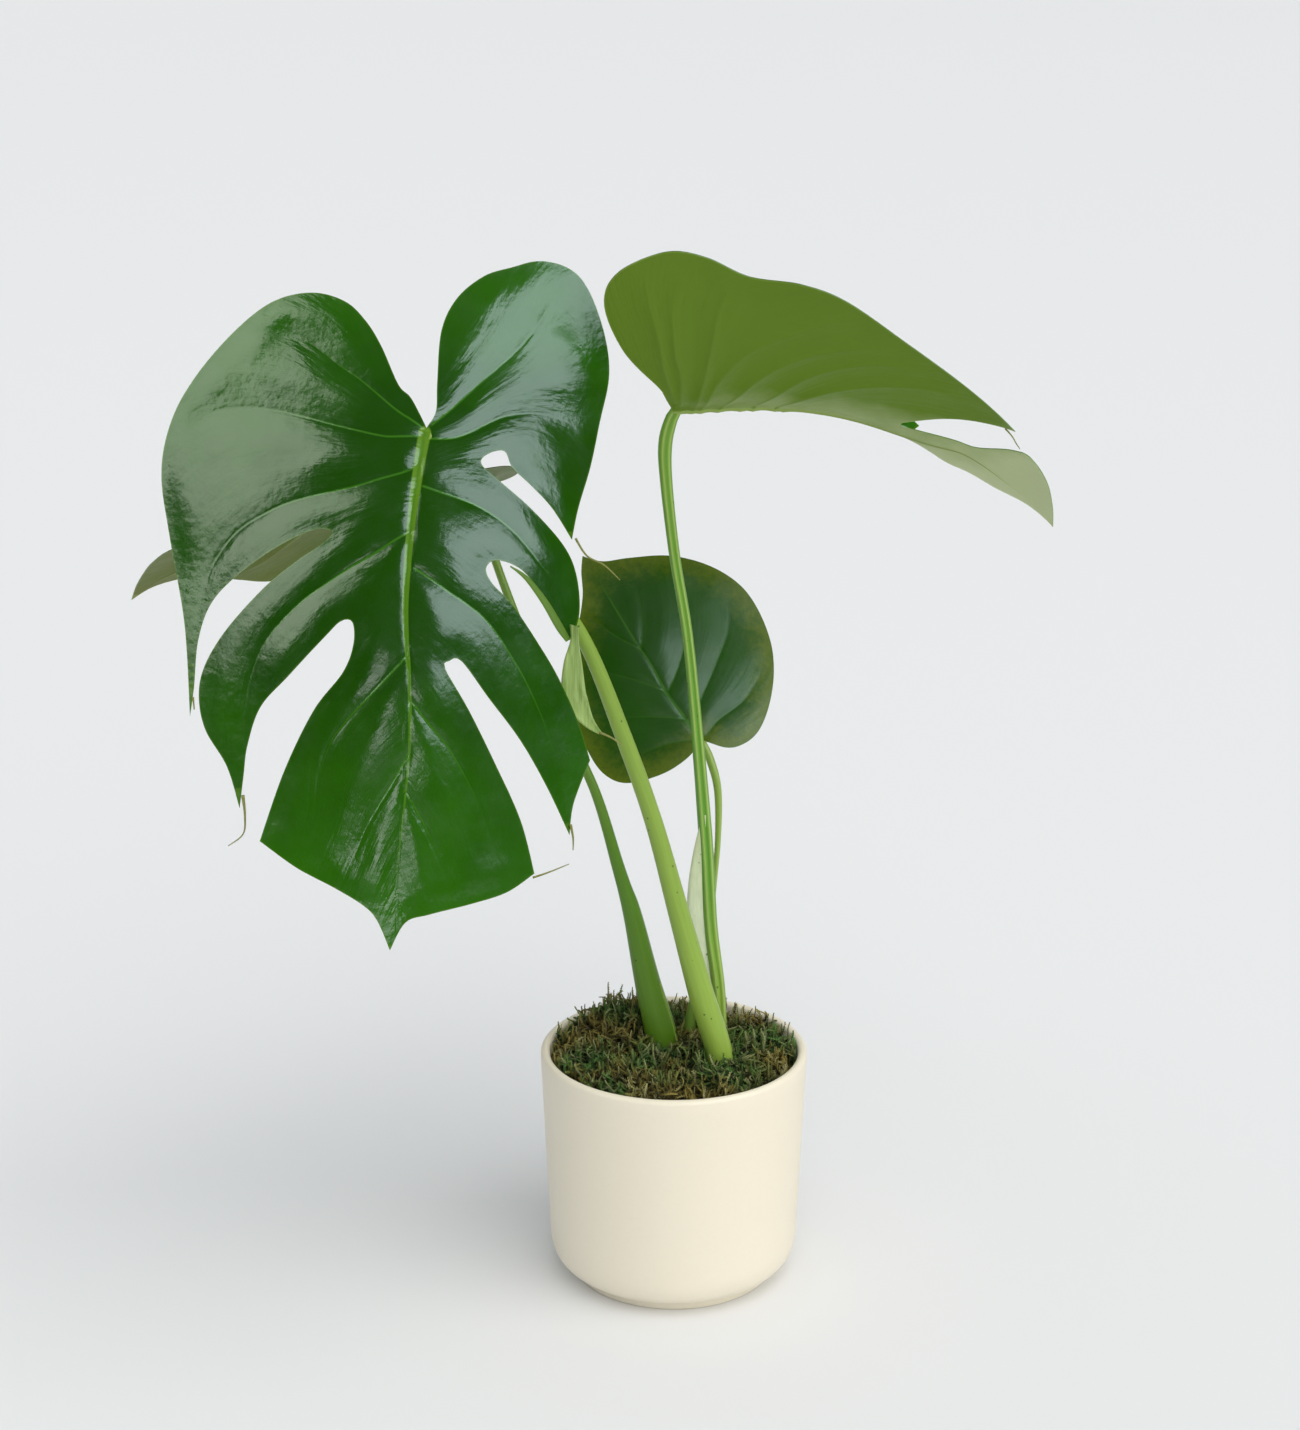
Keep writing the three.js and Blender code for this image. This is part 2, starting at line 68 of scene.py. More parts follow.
def linear(hex_colour):
    """An sRGB hex colour as linear red, green, blue and alpha."""
    channels = [int(hex_colour[i:i + 2], 16) / 255 for i in (1, 3, 5)]
    return tuple(c / 12.92 if c <= 0.04045 else ((c + 0.055) / 1.055) ** 2.4 for c in channels) + (1.0,)


def add_node(tree, kind, inputs=None, **settings):
    """One node with its settings; an input is a value, or another node's output to link."""
    node = tree.nodes.new(kind)
    for name, value in settings.items():
        setattr(node, name, value)
    for name, value in (inputs or {}).items():
        socket = node.inputs[name]
        if isinstance(value, bpy.types.NodeSocket):
            tree.links.new(value, socket)
        else:
            socket.default_value = value
    return node


def per_mm(size):
    """The scale of a noise whose features are about this many millimetres across, in object coordinates."""
    return 1 / (size * MM)


def start_material(name, **shader):
    """A material with one Principled shader, whose uniform values are set on its own sockets."""
    material = bpy.data.materials.new(name)
    material.use_nodes = True
    tree = material.node_tree
    principled = tree.nodes["Principled BSDF"]
    for socket, value in shader.items():
        principled.inputs[socket.replace("_", " ")].default_value = value
    return material, tree, principled


print("a mid grey of #808080 is", round(linear("#808080")[0], 3), "in linear light")

# %% [markdown]
# ## Smooth curves and round rods
#
# Stalks and dried leaf tips are rods that taper along a bent route. A curve object with a bevel could draw
# them, but every ring would then be round. Here a rod is a mesh, so that a ring can have a shape of its
# own, which is how a stalk gets its groove. It starts as a list of `(x, y, z, radius)` stations with a
# smooth curve through them. The same curve function also draws the outlines and veins of the leaves.

# %% Smooth curve


def through_points(points, step):
    """Points about one step apart on a smooth curve through the given ones, ends included."""
    points = np.asarray(points, float)
    padded = np.vstack([points[:1], points, points[-1:]])
    samples = []
    for a, b, c, d in zip(padded, padded[1:], padded[2:], padded[3:]):
        count = max(1, int(np.ceil(np.linalg.norm((c - b)[:3]) / step)))
        t = (np.arange(count) / count)[:, None]
        start, end = (c - a) / 2, (d - b) / 2
        cubic = 2 * b - 2 * c + start + end
        square = -3 * b + 3 * c - 2 * start - end
        samples.append(((cubic * t + square) * t + start) * t + b)
    return np.vstack(samples + [points[-1:]])


bend = through_points([(0, 0), (10, 0), (10, 10)], 1)
print("a smooth curve round a 10 mm corner has", len(bend), "points about 1 mm apart")

# %% [markdown]
# Rings of points are set square to the curve. Each ring is turned as little as possible from the one
# before, so the rod doesn't twist, and every vertex keeps two numbers for the finish: how far along the
# rod it is, and how far round.

# %% Rod


def ring_frames(centres, first_side=(0, -1, 0)):
    """A side and an up direction for each centre, turned as little as possible along the curve."""
    tangents = np.gradient(centres, axis=0)
    tangents /= np.linalg.norm(tangents, axis=1)[:, None]
    side = np.asarray(first_side, float)
    sides = []
    for tangent in tangents:
        side = side - tangent * (side @ tangent)
        side /= np.linalg.norm(side)
        sides.append(side)
    sides = np.array(sides)
    return sides, np.cross(tangents, sides)


def rod_mesh(stations, step, corners, section=None):
    """Vertices in mm, faces, and two numbers per vertex: share of the length, and angle in turns."""
    route = through_points(stations, step)
    centres, radii = route[:, :3], route[:, 3]
    sides, ups = ring_frames(centres)
    share = np.linspace(0, 1, len(route))
    turn = np.arange(corners) / corners
    angle = 2 * np.pi * turn
    shape = np.ones((len(route), corners)) if section is None else section(share[:, None], turn[None, :])
    spread = shape * radii[:, None]
    rings = (centres[:, None, :]
             + (spread * np.cos(angle))[:, :, None] * sides[:, None, :]
             + (spread * np.sin(angle))[:, :, None] * ups[:, None, :])
    count = len(route)
    vertices = np.vstack([rings.reshape(-1, 3), centres[:1], centres[-1:]])
    faces = []
    for i in range(count - 1):
        for j in range(corners):
            k = (j + 1) % corners
            faces.append((i * corners + j, i * corners + k, (i + 1) * corners + k, (i + 1) * corners + j))
    first_cap, last_cap = count * corners, count * corners + 1
    last = (count - 1) * corners
    for j in range(corners):
        k = (j + 1) % corners
        faces.append((first_cap, k, j))
        faces.append((last_cap, last + j, last + k))
    shares = np.append(np.repeat(share, corners), [0, 1])
    turns = np.append(np.tile(turn, count), [0, 0])
    return vertices, faces, shares, turns


test_rod = rod_mesh([(0, 0, 0, 1), (0, 0, 10, 1)], 2, 8)
print("a plain rod 10 mm long has", len(test_rod[0]), "vertices and", len(test_rod[1]), "faces")

# %% [markdown]
# ## From numbers to objects
#
# A mesh is written in millimetres and made in metres. Attributes carry the numbers that the finishes read
# by name, and a list of sharp edges keeps the rim of a leaf crisp while the rest is shaded smooth.

# %% Make and join meshes


def make_object(name, vertices_mm, faces, attributes=None, materials=(), face_materials=None, sharp=None):
    """A smooth-shaded mesh object, from millimetres, with named numbers on its vertices."""
    mesh = bpy.data.meshes.new(name)
    mesh.from_pydata((np.asarray(vertices_mm) * MM).tolist(), [], faces)
    for material in materials:
        mesh.materials.append(material)
    for label, values in (attributes or {}).items():
        layer = mesh.attributes.new(label, "FLOAT", "POINT")
        layer.data.foreach_set("value", np.asarray(values, np.float32))
    if face_materials is not None:
        mesh.polygons.foreach_set("material_index", np.asarray(face_materials, np.int32))
    mesh.shade_smooth()
    if sharp is not None:
        pairs = {tuple(sorted(pair)) for pair in sharp}
        edge_vertices = np.zeros(len(mesh.edges) * 2, np.int32)
        mesh.edges.foreach_get("vertices", edge_vertices)
        layer = mesh.attributes.get("sharp_edge") or mesh.attributes.new("sharp_edge", "BOOLEAN", "EDGE")
        flags = [tuple(sorted(pair)) in pairs for pair in edge_vertices.reshape(-1, 2).tolist()]
        layer.data.foreach_set("value", flags)
    mesh.validate()
    mesh.update()
    piece = bpy.data.objects.new(name, mesh)
    bpy.context.scene.collection.objects.link(piece)
    return piece


def join_meshes(parts):
    """Several (vertices, faces, *numbers per vertex) as one."""
    vertices, faces, numbers, offset = [], [], [], 0
    for part_vertices, part_faces, *part_numbers in parts:
        vertices.append(part_vertices)
        faces += [tuple(i + offset for i in face) for face in part_faces]
        numbers.append(part_numbers)
        offset += len(part_vertices)
    return np.vstack(vertices), faces, *[np.concatenate(column) for column in zip(*numbers)]


def fit(piece, *nodes):
    """The piece rides on the plant's one body, stands for its CAD nodes, and is compared with them."""
    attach(piece, "root")
    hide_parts(*nodes)
    corners = np.array([vertex.co for vertex in piece.data.vertices]) / MM
    boxes = np.array([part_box(node) for node in nodes]) / MM
    print(f"{piece.name}: {len(corners)} vertices, lowest corner {np.round(corners.min(0))} mm "
          f"(CAD {np.round(boxes[:, 0].min(0))}), highest {np.round(corners.max(0))} "
          f"(CAD {np.round(boxes[:, 1].max(0))})")


rod_vertices, rod_faces, rod_shares, _ = test_rod
joined = join_meshes([(rod_vertices, rod_faces, rod_shares), (rod_vertices + 5, rod_faces, rod_shares)])
print("two rods joined:", len(joined[0]), "vertices and", len(joined[1]), "faces")

# %% [markdown]
# ## How a leaf blade is made
#
# A monstera blade grows flat and heart-shaped, with a strong midrib, side veins that run out to the
# fingers and deep slits between them. It could be sculpted by hand, or cut out of a plain plane with an
# alpha mask. Here it is grown from its flat layout instead, because then the slits are real edges and
# every vein is a real groove. Each leaf is laid out in millimetres: `x` across the blade, `y` from the
# stalk to the tip. The outline is a list of smooth runs that meet in corners, and the form is a thin-plate
# spline, the smoothest surface that passes through a few heights. Both repeat the numbers of the CAD leaf,
# so the blade fits it.

# %% Smooth form and outline


def smooth_surface(heights):
    """The thin-plate spline through (x, y, height) points, as a function of x and y."""
    points = np.asarray(heights, float)
    count = len(points)

    def bulge(squared):
        squared = np.maximum(squared, 1e-9)
        return 0.5 * squared * np.log(squared)

    system = np.zeros((count + 3, count + 3))
    offsets = points[:, None, :2] - points[None, :, :2]
    system[:count, :count] = bulge((offsets ** 2).sum(-1))
    system[:count, count] = 1
    system[:count, count + 1:] = points[:, :2]
    system[count:, :count] = system[:count, count:].T
    weights = np.linalg.solve(system, np.append(points[:, 2], [0, 0, 0]))

    def height(x, y):
        squared = (x[:, None] - points[:, 0]) ** 2 + (y[:, None] - points[:, 1]) ** 2
        level, slope_x, slope_y = weights[count:]
        return bulge(squared) @ weights[:count] + level + slope_x * x + slope_y * y

    return height


def outline_of(runs, step):
    """The closed outline: a smooth curve along each run, with a corner where one run ends."""
    samples = []
    start = None
    for run in runs:
        points = run if start is None else [start] + run
        samples.append(through_points(points, step)[:-1])
        start = run[-1]
    return np.vstack(samples)


dish = smooth_surface([(0, 0, 0), (10, 0, 2), (-10, 0, 2), (0, 10, 2), (0, -10, 2)])
print("a smooth dish 2 mm deep, halfway out:", np.round(dish(np.array([5.0]), np.array([0.0])), 2), "mm")

# %% [markdown]
# ### Filling the outline
#
# The blade needs small, even triangles, with rows of points along each vein so that its groove is crisp.
# Those points and an even grid are thinned where they come too close to the margin, and one constrained
# triangulation joins them. Two questions come up for every point: is it inside the outline, and how far is
# it from the margin or a vein?

# %% Inside, and how far away


def inside(points, outline):
    """Which points lie inside a closed outline, by counting the edges to their right."""
    x, y = points[:, 0][:, None], points[:, 1][:, None]
    ax, ay = outline.T
    bx, by = np.roll(outline, -1, axis=0).T
    crosses = (ay > y) != (by > y)
    rise = np.where(by == ay, 1, by - ay)
    return (crosses & (x < (bx - ax) * (y - ay) / rise + ax)).sum(1) % 2 == 1


def distance_along(points, line):
    """Each point's distance from a line of points, and the share of its length at the nearest place."""
    starts, steps = line[:-1], np.diff(line, axis=0)
    squared = np.maximum((steps ** 2).sum(1), 1e-9)
    offset = points[:, None, :] - starts[None]
    share = np.clip((offset * steps).sum(-1) / squared, 0, 1)
    gap = np.linalg.norm(offset - share[..., None] * steps, axis=-1)
    nearest = gap.argmin(1)
    rows = np.arange(len(points))
    return gap[rows, nearest], (nearest + share[rows, nearest]) / len(steps)


gap_to_line, share_of_line = distance_along(np.array([[5.0, 3.0]]), np.array([[0.0, 0.0], [10.0, 0.0]]))
print("a point beside a line:", gap_to_line, "mm away, nearest at", share_of_line, "of its length")

# %% Fill an outline with triangles


def flat_mesh(outline, veins, beside_veins, spacing):
    """Points and triangles that fill the outline: its own points, rows beside veins, and a grid."""
    low, high = outline.min(0), outline.max(0)
    rows = np.arange(low[1], high[1], spacing * 0.866)
    grid = []
    for i, y in enumerate(rows):
        across = np.arange(low[0] + spacing * (i % 2) / 2, high[0], spacing)
        grid.append(np.column_stack([across, np.full_like(across, y)]))
    grid = np.vstack(grid)
    beside = []
    for vein, rows_beside in zip(veins, beside_veins):
        along = np.gradient(vein, axis=0)
        across = np.column_stack([-along[:, 1], along[:, 0]]) / np.linalg.norm(along, axis=1)[:, None]
        beside += [vein] + [vein + side * row * across for row in rows_beside for side in (-1, 1)]
    beside = np.vstack(beside)
    keep_off = 0.55 * spacing
    closed = np.vstack([outline, outline[:1]])
    beside = beside[inside(beside, outline) & (distance_along(beside, closed)[0] > keep_off)]
    grid = grid[inside(grid, outline)]
    grid = grid[distance_along(grid, closed)[0] > keep_off]
    for vein, rows_beside in zip(veins, beside_veins):
        grid = grid[distance_along(grid, vein)[0] > max(rows_beside) + keep_off]
    points = np.vstack([outline, beside, grid])
    count = len(outline)
    edges = [(i, (i + 1) % count) for i in range(count)]
    found, _, triangles, *_ = delaunay_2d_cdt([Vector(p) for p in points], edges, [], 0, 1e-3)
    found = np.array([tuple(p) for p in found])
    triangles = np.array([t[:3] for t in triangles])
    triangles = triangles[inside(found[triangles].mean(1), outline)]
    used, renumbered = np.unique(triangles, return_inverse=True)
    return found[used], renumbered.reshape(-1, 3)


def border_loops(triangles):
    """The directed edges that only one triangle has."""
    directed = {(int(a), int(b)) for t in triangles for a, b in ((t[0], t[1]), (t[1], t[2]), (t[2], t[0]))}
    return [(a, b) for a, b in directed if (b, a) not in directed]


square = np.array([[0.0, 0.0], [20.0, 0.0], [20.0, 20.0], [0.0, 20.0]])
test_points, test_triangles = flat_mesh(square, [np.array([[5.0, 5.0], [15.0, 15.0]])], [(1,)], 3)
print("a 20 mm square with one vein:", len(test_points), "points,", len(test_triangles), "triangles")

# %% [markdown]
# ### Veins, quilting and the two sides of a blade
#
# On the upper side every vein lies in a groove, and the blade swells softly between the veins: that
# quilting is what breaks up the gloss of a real monstera leaf. Underneath, the same veins stand out as
# ridges. So the sheet is made twice, once for each side, and closed by a thin rim. Numbers stored on the
# vertices say how close each point is to a vein and to the margin, and the finishes read them by name.
# First the flat layout needs its place on the plant: across, tip and face directions, and the middle
# height.

# %% From the flat layout to the plant


def leaf_axes(leaf):
    """The leaf's across, tip and face directions."""
    tip = np.asarray(leaf["tip"], float)
    tip /= np.linalg.norm(tip)
    face = np.asarray(leaf["face"], float)
    face -= tip * (face @ tip)
    face /= np.linalg.norm(face)
    return np.cross(tip, face), tip, face


def place_on_plant(leaf, x, y, height):
    """Points of a flat layout, in mm, at their place on the plant."""
    across, tip, face = leaf_axes(leaf)
    return (np.asarray(leaf["junction"], float) + x[:, None] * across
            + y[:, None] * tip + height[:, None] * face)


def middle_height(leaf):
    """Height of the blade's middle layer: the form, and the fold along the midrib."""
    surface = smooth_surface(leaf["form"])
    softness = 4
    near, far = leaf["fold"]
    return lambda x, y: surface(x, y) + (np.hypot(x, softness) - softness) * np.where(x > 0, near, far)


def fan_of(veins, x, y):
    """A number that is steady along each side vein and climbs by one from vein to vein, in each half."""
    fan = np.zeros(len(x))
    for half in (1, -1):
        chosen = [np.asarray(vein, float) for vein in veins if half * np.mean(np.array(vein)[:, 0]) > 0]
        steps = [(px, py, number) for number, vein in enumerate(chosen) for px, py in vein[1:]]
        mine = half * x > 0
        fan[mine] = smooth_surface(steps)(x[mine], y[mine])
    return fan


hanging = {"tip": [0, 0, -1], "face": [0, -1, 0]}
print("the across direction of a leaf that hangs and faces forward:", leaf_axes(hanging)[0])

# %% The two sides of a blade, in millimetres

line_depth = 0.35
valley_depth, valley_width = 0.35, 3.5
channel_depth, channel_edge = 0.8, 0.35
ridge_height = 0.55
rib_height, rib_height_at_stalk = 0.4, 1.5
edge_thickness, extra_thickness = 0.35, 0.25
ripple_height = 0.16
small_ribs_per_vein = 3
side_vein_gap = 26


def blade_mesh(leaf, spacing):
    """The blade as vertices in mm, faces, the rim's edges, and numbers for its finish."""
    outline = outline_of(leaf["outline"], spacing * 0.75)
    midrib = through_points(leaf["midrib"], spacing)
    veins = [through_points(vein, spacing) for vein in leaf["veins"]]
    flat, triangles = flat_mesh(outline, [midrib] + veins, [(1, 2, 3.2)] + [(0.8,)] * len(veins), spacing)
    x, y = flat.T
    closed = np.vstack([outline, outline[:1]])
    margin = distance_along(flat, closed)[0]
    from_midrib, down_midrib = distance_along(flat, midrib)
    vein_gaps, vein_shares = zip(*(distance_along(flat, vein) for vein in veins))
    nearest = np.argmin(vein_gaps, axis=0)
    rows = np.arange(len(flat))
    from_vein = np.array(vein_gaps)[nearest, rows]
    down_vein = np.array(vein_shares)[nearest, rows]
    fan = fan_of(leaf["veins"], x, y)

    vein_width = leaf["vein_width"] * (1 - 0.6 * down_vein)
    rib_width = leaf["rib_width"] * (1 - down_midrib) ** 2 + channel_edge
    vein_line = np.exp(-(from_vein / vein_width) ** 2) * (1 - down_vein ** 3)
    rib_line = np.exp(-(from_midrib / rib_width) ** 2) * (1 - down_midrib ** 6)
    valley = np.exp(-(from_vein / valley_width) ** 2) * (1 - down_vein ** 2)
    swell = 1 - np.exp(-(np.minimum(from_vein, from_midrib) / 10) ** 2)
    swell *= 1 - np.exp(-(margin / 8) ** 2)
    small_ribs = np.cos(2 * np.pi * small_ribs_per_vein * fan) * (1 - np.exp(-(from_midrib / 25) ** 2))
    ripple = np.sin(x / 6.1 + 0.7 * np.sin(y / 9)) * np.sin(y / 7.3 + 0.8 * np.sin(x / 11))

    middle = middle_height(leaf)(x, y)
    fine_relief = leaf["ribbing"] * small_ribs + ripple_height * ripple
    upper = middle + leaf["quilting"] * swell + fine_relief * swell
    upper -= line_depth * vein_line + valley_depth * valley + channel_depth * rib_line * (1 - down_midrib)
    thickness = edge_thickness + extra_thickness * (1 - np.exp(-margin / 4))
    ridges = ridge_height * vein_line * (1 - np.exp(-(from_midrib / 9) ** 2))
    ridges += (rib_height + rib_height_at_stalk * (1 - down_midrib)) * rib_line
    lower = upper - thickness - ridges

    top = place_on_plant(leaf, x, y, upper)
    bottom = place_on_plant(leaf, x, y, lower)
    count = len(flat)
    rim = border_loops(triangles)
    faces = [tuple(t) for t in triangles] + [(c + count, b + count, a + count) for a, b, c in triangles]
    faces += [(b, a, a + count, b + count) for a, b in rim]
    sides = [0] * len(triangles) + [1] * len(triangles) + [0] * len(rim)
    sharp = rim + [(a + count, b + count) for a, b in rim]
    numbers = {
        "vein": vein_line, "rib": rib_line, "margin": margin, "fan": fan * side_vein_gap,
        "out": from_midrib, "down": down_midrib, "fresh_and_lit": smooth_surface(leaf["fresh_and_lit"])(x, y),
    }
    numbers = {label: np.tile(values, 2) for label, values in numbers.items()}
    return np.vstack([top, bottom]), faces, sides, sharp, numbers


def build_leaf(name, leaf, materials, spacing, extras=()):
    """The finished leaf: its blade, with turned fingers or threads joined as (vertices, faces, slot)."""
    vertices, faces, sides, sharp, numbers = blade_mesh(leaf, spacing)
    far_from_margin = 9.0
    for extra_vertices, extra_faces, slot in extras:
        faces += [tuple(i + len(vertices) for i in face) for face in extra_faces]
        sides += [slot] * len(extra_faces)
        vertices = np.vstack([vertices, extra_vertices])
        for label, values in numbers.items():
            padding = far_from_margin if label == "margin" else 0.0
            numbers[label] = np.append(values, np.full(len(extra_vertices), padding))
    return make_object(name, vertices, faces, numbers, materials, sides, sharp)


print("a blade is", edge_thickness, "to", edge_thickness + extra_thickness, "mm thick")

# %% [markdown]
# ## The finish of a leaf
#
# A monstera leaf is covered by a wax cuticle, so it has a clear, tight gloss over a deep green body, and
# the gloss breaks up over the fine swelling between the smallest veins. Underneath there is less wax: the
# colour is greyer and the shine softer. The colour could be painted as a texture, but a procedural mix
# keeps it sharp at any size. One function mixes both sides from a few greens. The veins are drawn from the
# numbers on the blade, so the pale lines lie exactly in their grooves. The fine relief follows the side
# veins too: its noise is stretched along them, with ridges about 4 mm apart.

# %% Leaf greens


def leaf_greens(tree, position, number, body, fresh_and_lit, edge, edge_width):
    """Dark and young green in large soft clouds and in the blade's field of age and painted light, and an
    edge colour that creeps in from the margin.
    """
    clouds = add_node(tree, "ShaderNodeTexNoise", {
        "Vector": position, "Scale": per_mm(40), "Detail": 3.0, "Roughness": 0.55})
    # The blade's field mixes younger and older green with painted light and shade: paler where a part faces
    # the light, darker in the middle.
    age_and_light = add_node(tree, "ShaderNodeMath", {0: clouds.outputs["Fac"], 1: 0.9, 2: number["fresh_and_lit"]},
                   operation="MULTIPLY_ADD")
    age_and_light = add_node(tree, "ShaderNodeMapRange", {
        "Value": age_and_light.outputs["Value"], "From Min": 0.4, "From Max": 1.3})
    green = add_node(tree, "ShaderNodeMix", {
        "Factor": age_and_light.outputs["Result"], "A": linear(body), "B": linear(fresh_and_lit)}, data_type="RGBA")
    if edge is None:
        return green.outputs["Result"]

    # Ageing comes in blotches and specks of 1 to 5 mm.
    blotches = add_node(tree, "ShaderNodeTexNoise", {
        "Vector": position, "Scale": per_mm(4), "Detail": 6.0, "Roughness": 0.8})
    ragged = add_node(tree, "ShaderNodeMath", {
        0: blotches.outputs["Fac"], 1: 2 * edge_width, 2: number["margin"]}, operation="MULTIPLY_ADD")
    near = add_node(tree, "ShaderNodeMapRange", {
        "Value": ragged.outputs["Value"], "From Min": 0.75 * edge_width, "From Max": 2.1 * edge_width,
        "To Min": 1.0, "To Max": 0.0}, interpolation_type="SMOOTHSTEP")
    tinted = add_node(tree, "ShaderNodeMix", {
        "Factor": near.outputs["Result"], "A": green.outputs["Result"], "B": linear(edge)},
        data_type="RGBA")
    return tinted.outputs["Result"]


print("a leaf's green is mixed in clouds about 40 mm across")

# %% Leaf veins


def leaf_veins(tree, colour, number, fresh_and_lit, vein, rib, rib_end):
    """Side veins, then the midrib over them: palest at the stalk, with a darker line along its middle that
    is painted shade in its groove.
    """
    pale = add_node(tree, "ShaderNodeMapRange", {
        "Value": number["vein"], "From Min": 0.4, "From Max": 1.0}, interpolation_type="SMOOTHSTEP")
    veined = add_node(tree, "ShaderNodeMix", {
        "Factor": pale.outputs["Result"], "A": colour, "B": linear(vein)}, data_type="RGBA")
    rib_green = add_node(tree, "ShaderNodeMix", {
        "Factor": number["down"], "A": linear(rib), "B": linear(rib_end)}, data_type="RGBA")
    # On the upper side the line along the rib's middle is painted shade in the midrib's groove.
    middle_line = add_node(tree, "ShaderNodeMapRange", {
        "Value": number["rib"], "From Min": 0.85, "From Max": 1.0, "To Max": 0.45})
    rib_colour = add_node(tree, "ShaderNodeMix", {
        "Factor": middle_line.outputs["Result"], "A": rib_green.outputs["Result"], "B": linear(fresh_and_lit)},
        data_type="RGBA")
    channel = add_node(tree, "ShaderNodeMapRange", {
        "Value": number["rib"], "From Min": 0.35, "From Max": 0.6}, interpolation_type="SMOOTHSTEP")
    ribbed = add_node(tree, "ShaderNodeMix", {
        "Factor": channel.outputs["Result"], "A": veined.outputs["Result"],
        "B": rib_colour.outputs["Result"]}, data_type="RGBA")
    # The blade is thin at its very edge, and light shows through the last half millimetre.
    rim = add_node(tree, "ShaderNodeMapRange", {
        "Value": number["margin"], "From Min": 0.0, "From Max": 0.7, "To Min": 0.45, "To Max": 0.0})
    rimmed = add_node(tree, "ShaderNodeMix", {
        "Factor": rim.outputs["Result"], "A": ribbed.outputs["Result"], "B": linear(rib)},
        data_type="RGBA")
    return rimmed.outputs["Result"]


print("veins are drawn where the blade's own vein and rib numbers are high")

# %% [markdown]
# ### Wax and fine relief
#
# The wax is thicker in some places than in others, so the roughness drifts by a few hundredths. The relief
# is a bump, because it is a fraction of a millimetre high: soft ridges about 4 mm apart that follow the
# side veins, and cells of about 4 mm between the smallest ones.

# %% A finished leaf side


def leaf_relief(tree, position, number, relief):
    """Soft ridges that are stretched along the side veins, and small cells between them."""
    stretched = add_node(tree, "ShaderNodeMath", {0: number["out"], 1: 0.16}, operation="MULTIPLY")
    along_veins = add_node(tree, "ShaderNodeCombineXYZ", {
        "X": number["fan"], "Y": stretched.outputs["Value"]})
    ridges = add_node(tree, "ShaderNodeTexNoise", {
        "Vector": along_veins.outputs["Vector"], "Scale": 0.28, "Detail": 3.0, "Roughness": 0.5})
    cells = add_node(tree, "ShaderNodeTexNoise", {
        "Vector": position, "Scale": per_mm(4), "Detail": 2.0, "Roughness": 0.5})
    height = add_node(tree, "ShaderNodeMath", {
        0: cells.outputs["Fac"], 1: 0.5, 2: ridges.outputs["Fac"]}, operation="MULTIPLY_ADD")
    bump = add_node(tree, "ShaderNodeBump", {
        "Height": height.outputs["Value"], "Strength": relief, "Distance": 2.2 * MM})
    return bump.outputs["Normal"]


def leaf_finish(name, body, fresh_and_lit, vein, rib, rib_end, roughness, edge=None, edge_width=14.0, relief=0.14,
                gloss=0.5):
    """A waxy leaf side from its greens, the roughness of its wax and the height of its fine relief."""
    material, tree, principled = start_material(
        name, Roughness=roughness, IOR=1.45, Specular_IOR_Level=gloss)
    position = add_node(tree, "ShaderNodeTexCoord").outputs["Object"]
    number = {label: add_node(tree, "ShaderNodeAttribute", attribute_name=label).outputs["Fac"]
              for label in ("vein", "rib", "margin", "fan", "out", "down", "fresh_and_lit")}
    greens = leaf_greens(tree, position, number, body, fresh_and_lit, edge, edge_width)
    colour = leaf_veins(tree, greens, number, fresh_and_lit, vein, rib, rib_end)
    tree.links.new(colour, principled.inputs["Base Color"])
    wax = add_node(tree, "ShaderNodeTexNoise", {
        "Vector": position, "Scale": per_mm(14), "Detail": 3.0, "Roughness": 0.6})
    wear = add_node(tree, "ShaderNodeMapRange", {
        "Value": wax.outputs["Fac"], "From Min": 0.3, "From Max": 0.7,
        "To Min": roughness - 0.04, "To Max": roughness + 0.06})
    tree.links.new(wear.outputs["Result"], principled.inputs["Roughness"])
    tree.links.new(leaf_relief(tree, position, number, relief), principled.inputs["Normal"])
    return material


glossy_leaf = leaf_finish(
    "waxy_monstera_leaf", body="#184500", fresh_and_lit="#2d6904", vein="#356e10", rib="#5a8419", rib_end="#34690b",
    roughness=0.18, relief=0.13)
glossy_back = leaf_finish(
    "monstera_leaf_underside", body="#587a2a", fresh_and_lit="#6c8c38", vein="#7f9c44", rib="#93ad55",
    rib_end="#86a24c", roughness=0.5, gloss=0.25)
print("leaf finishes:", glossy_leaf.name, glossy_back.name)
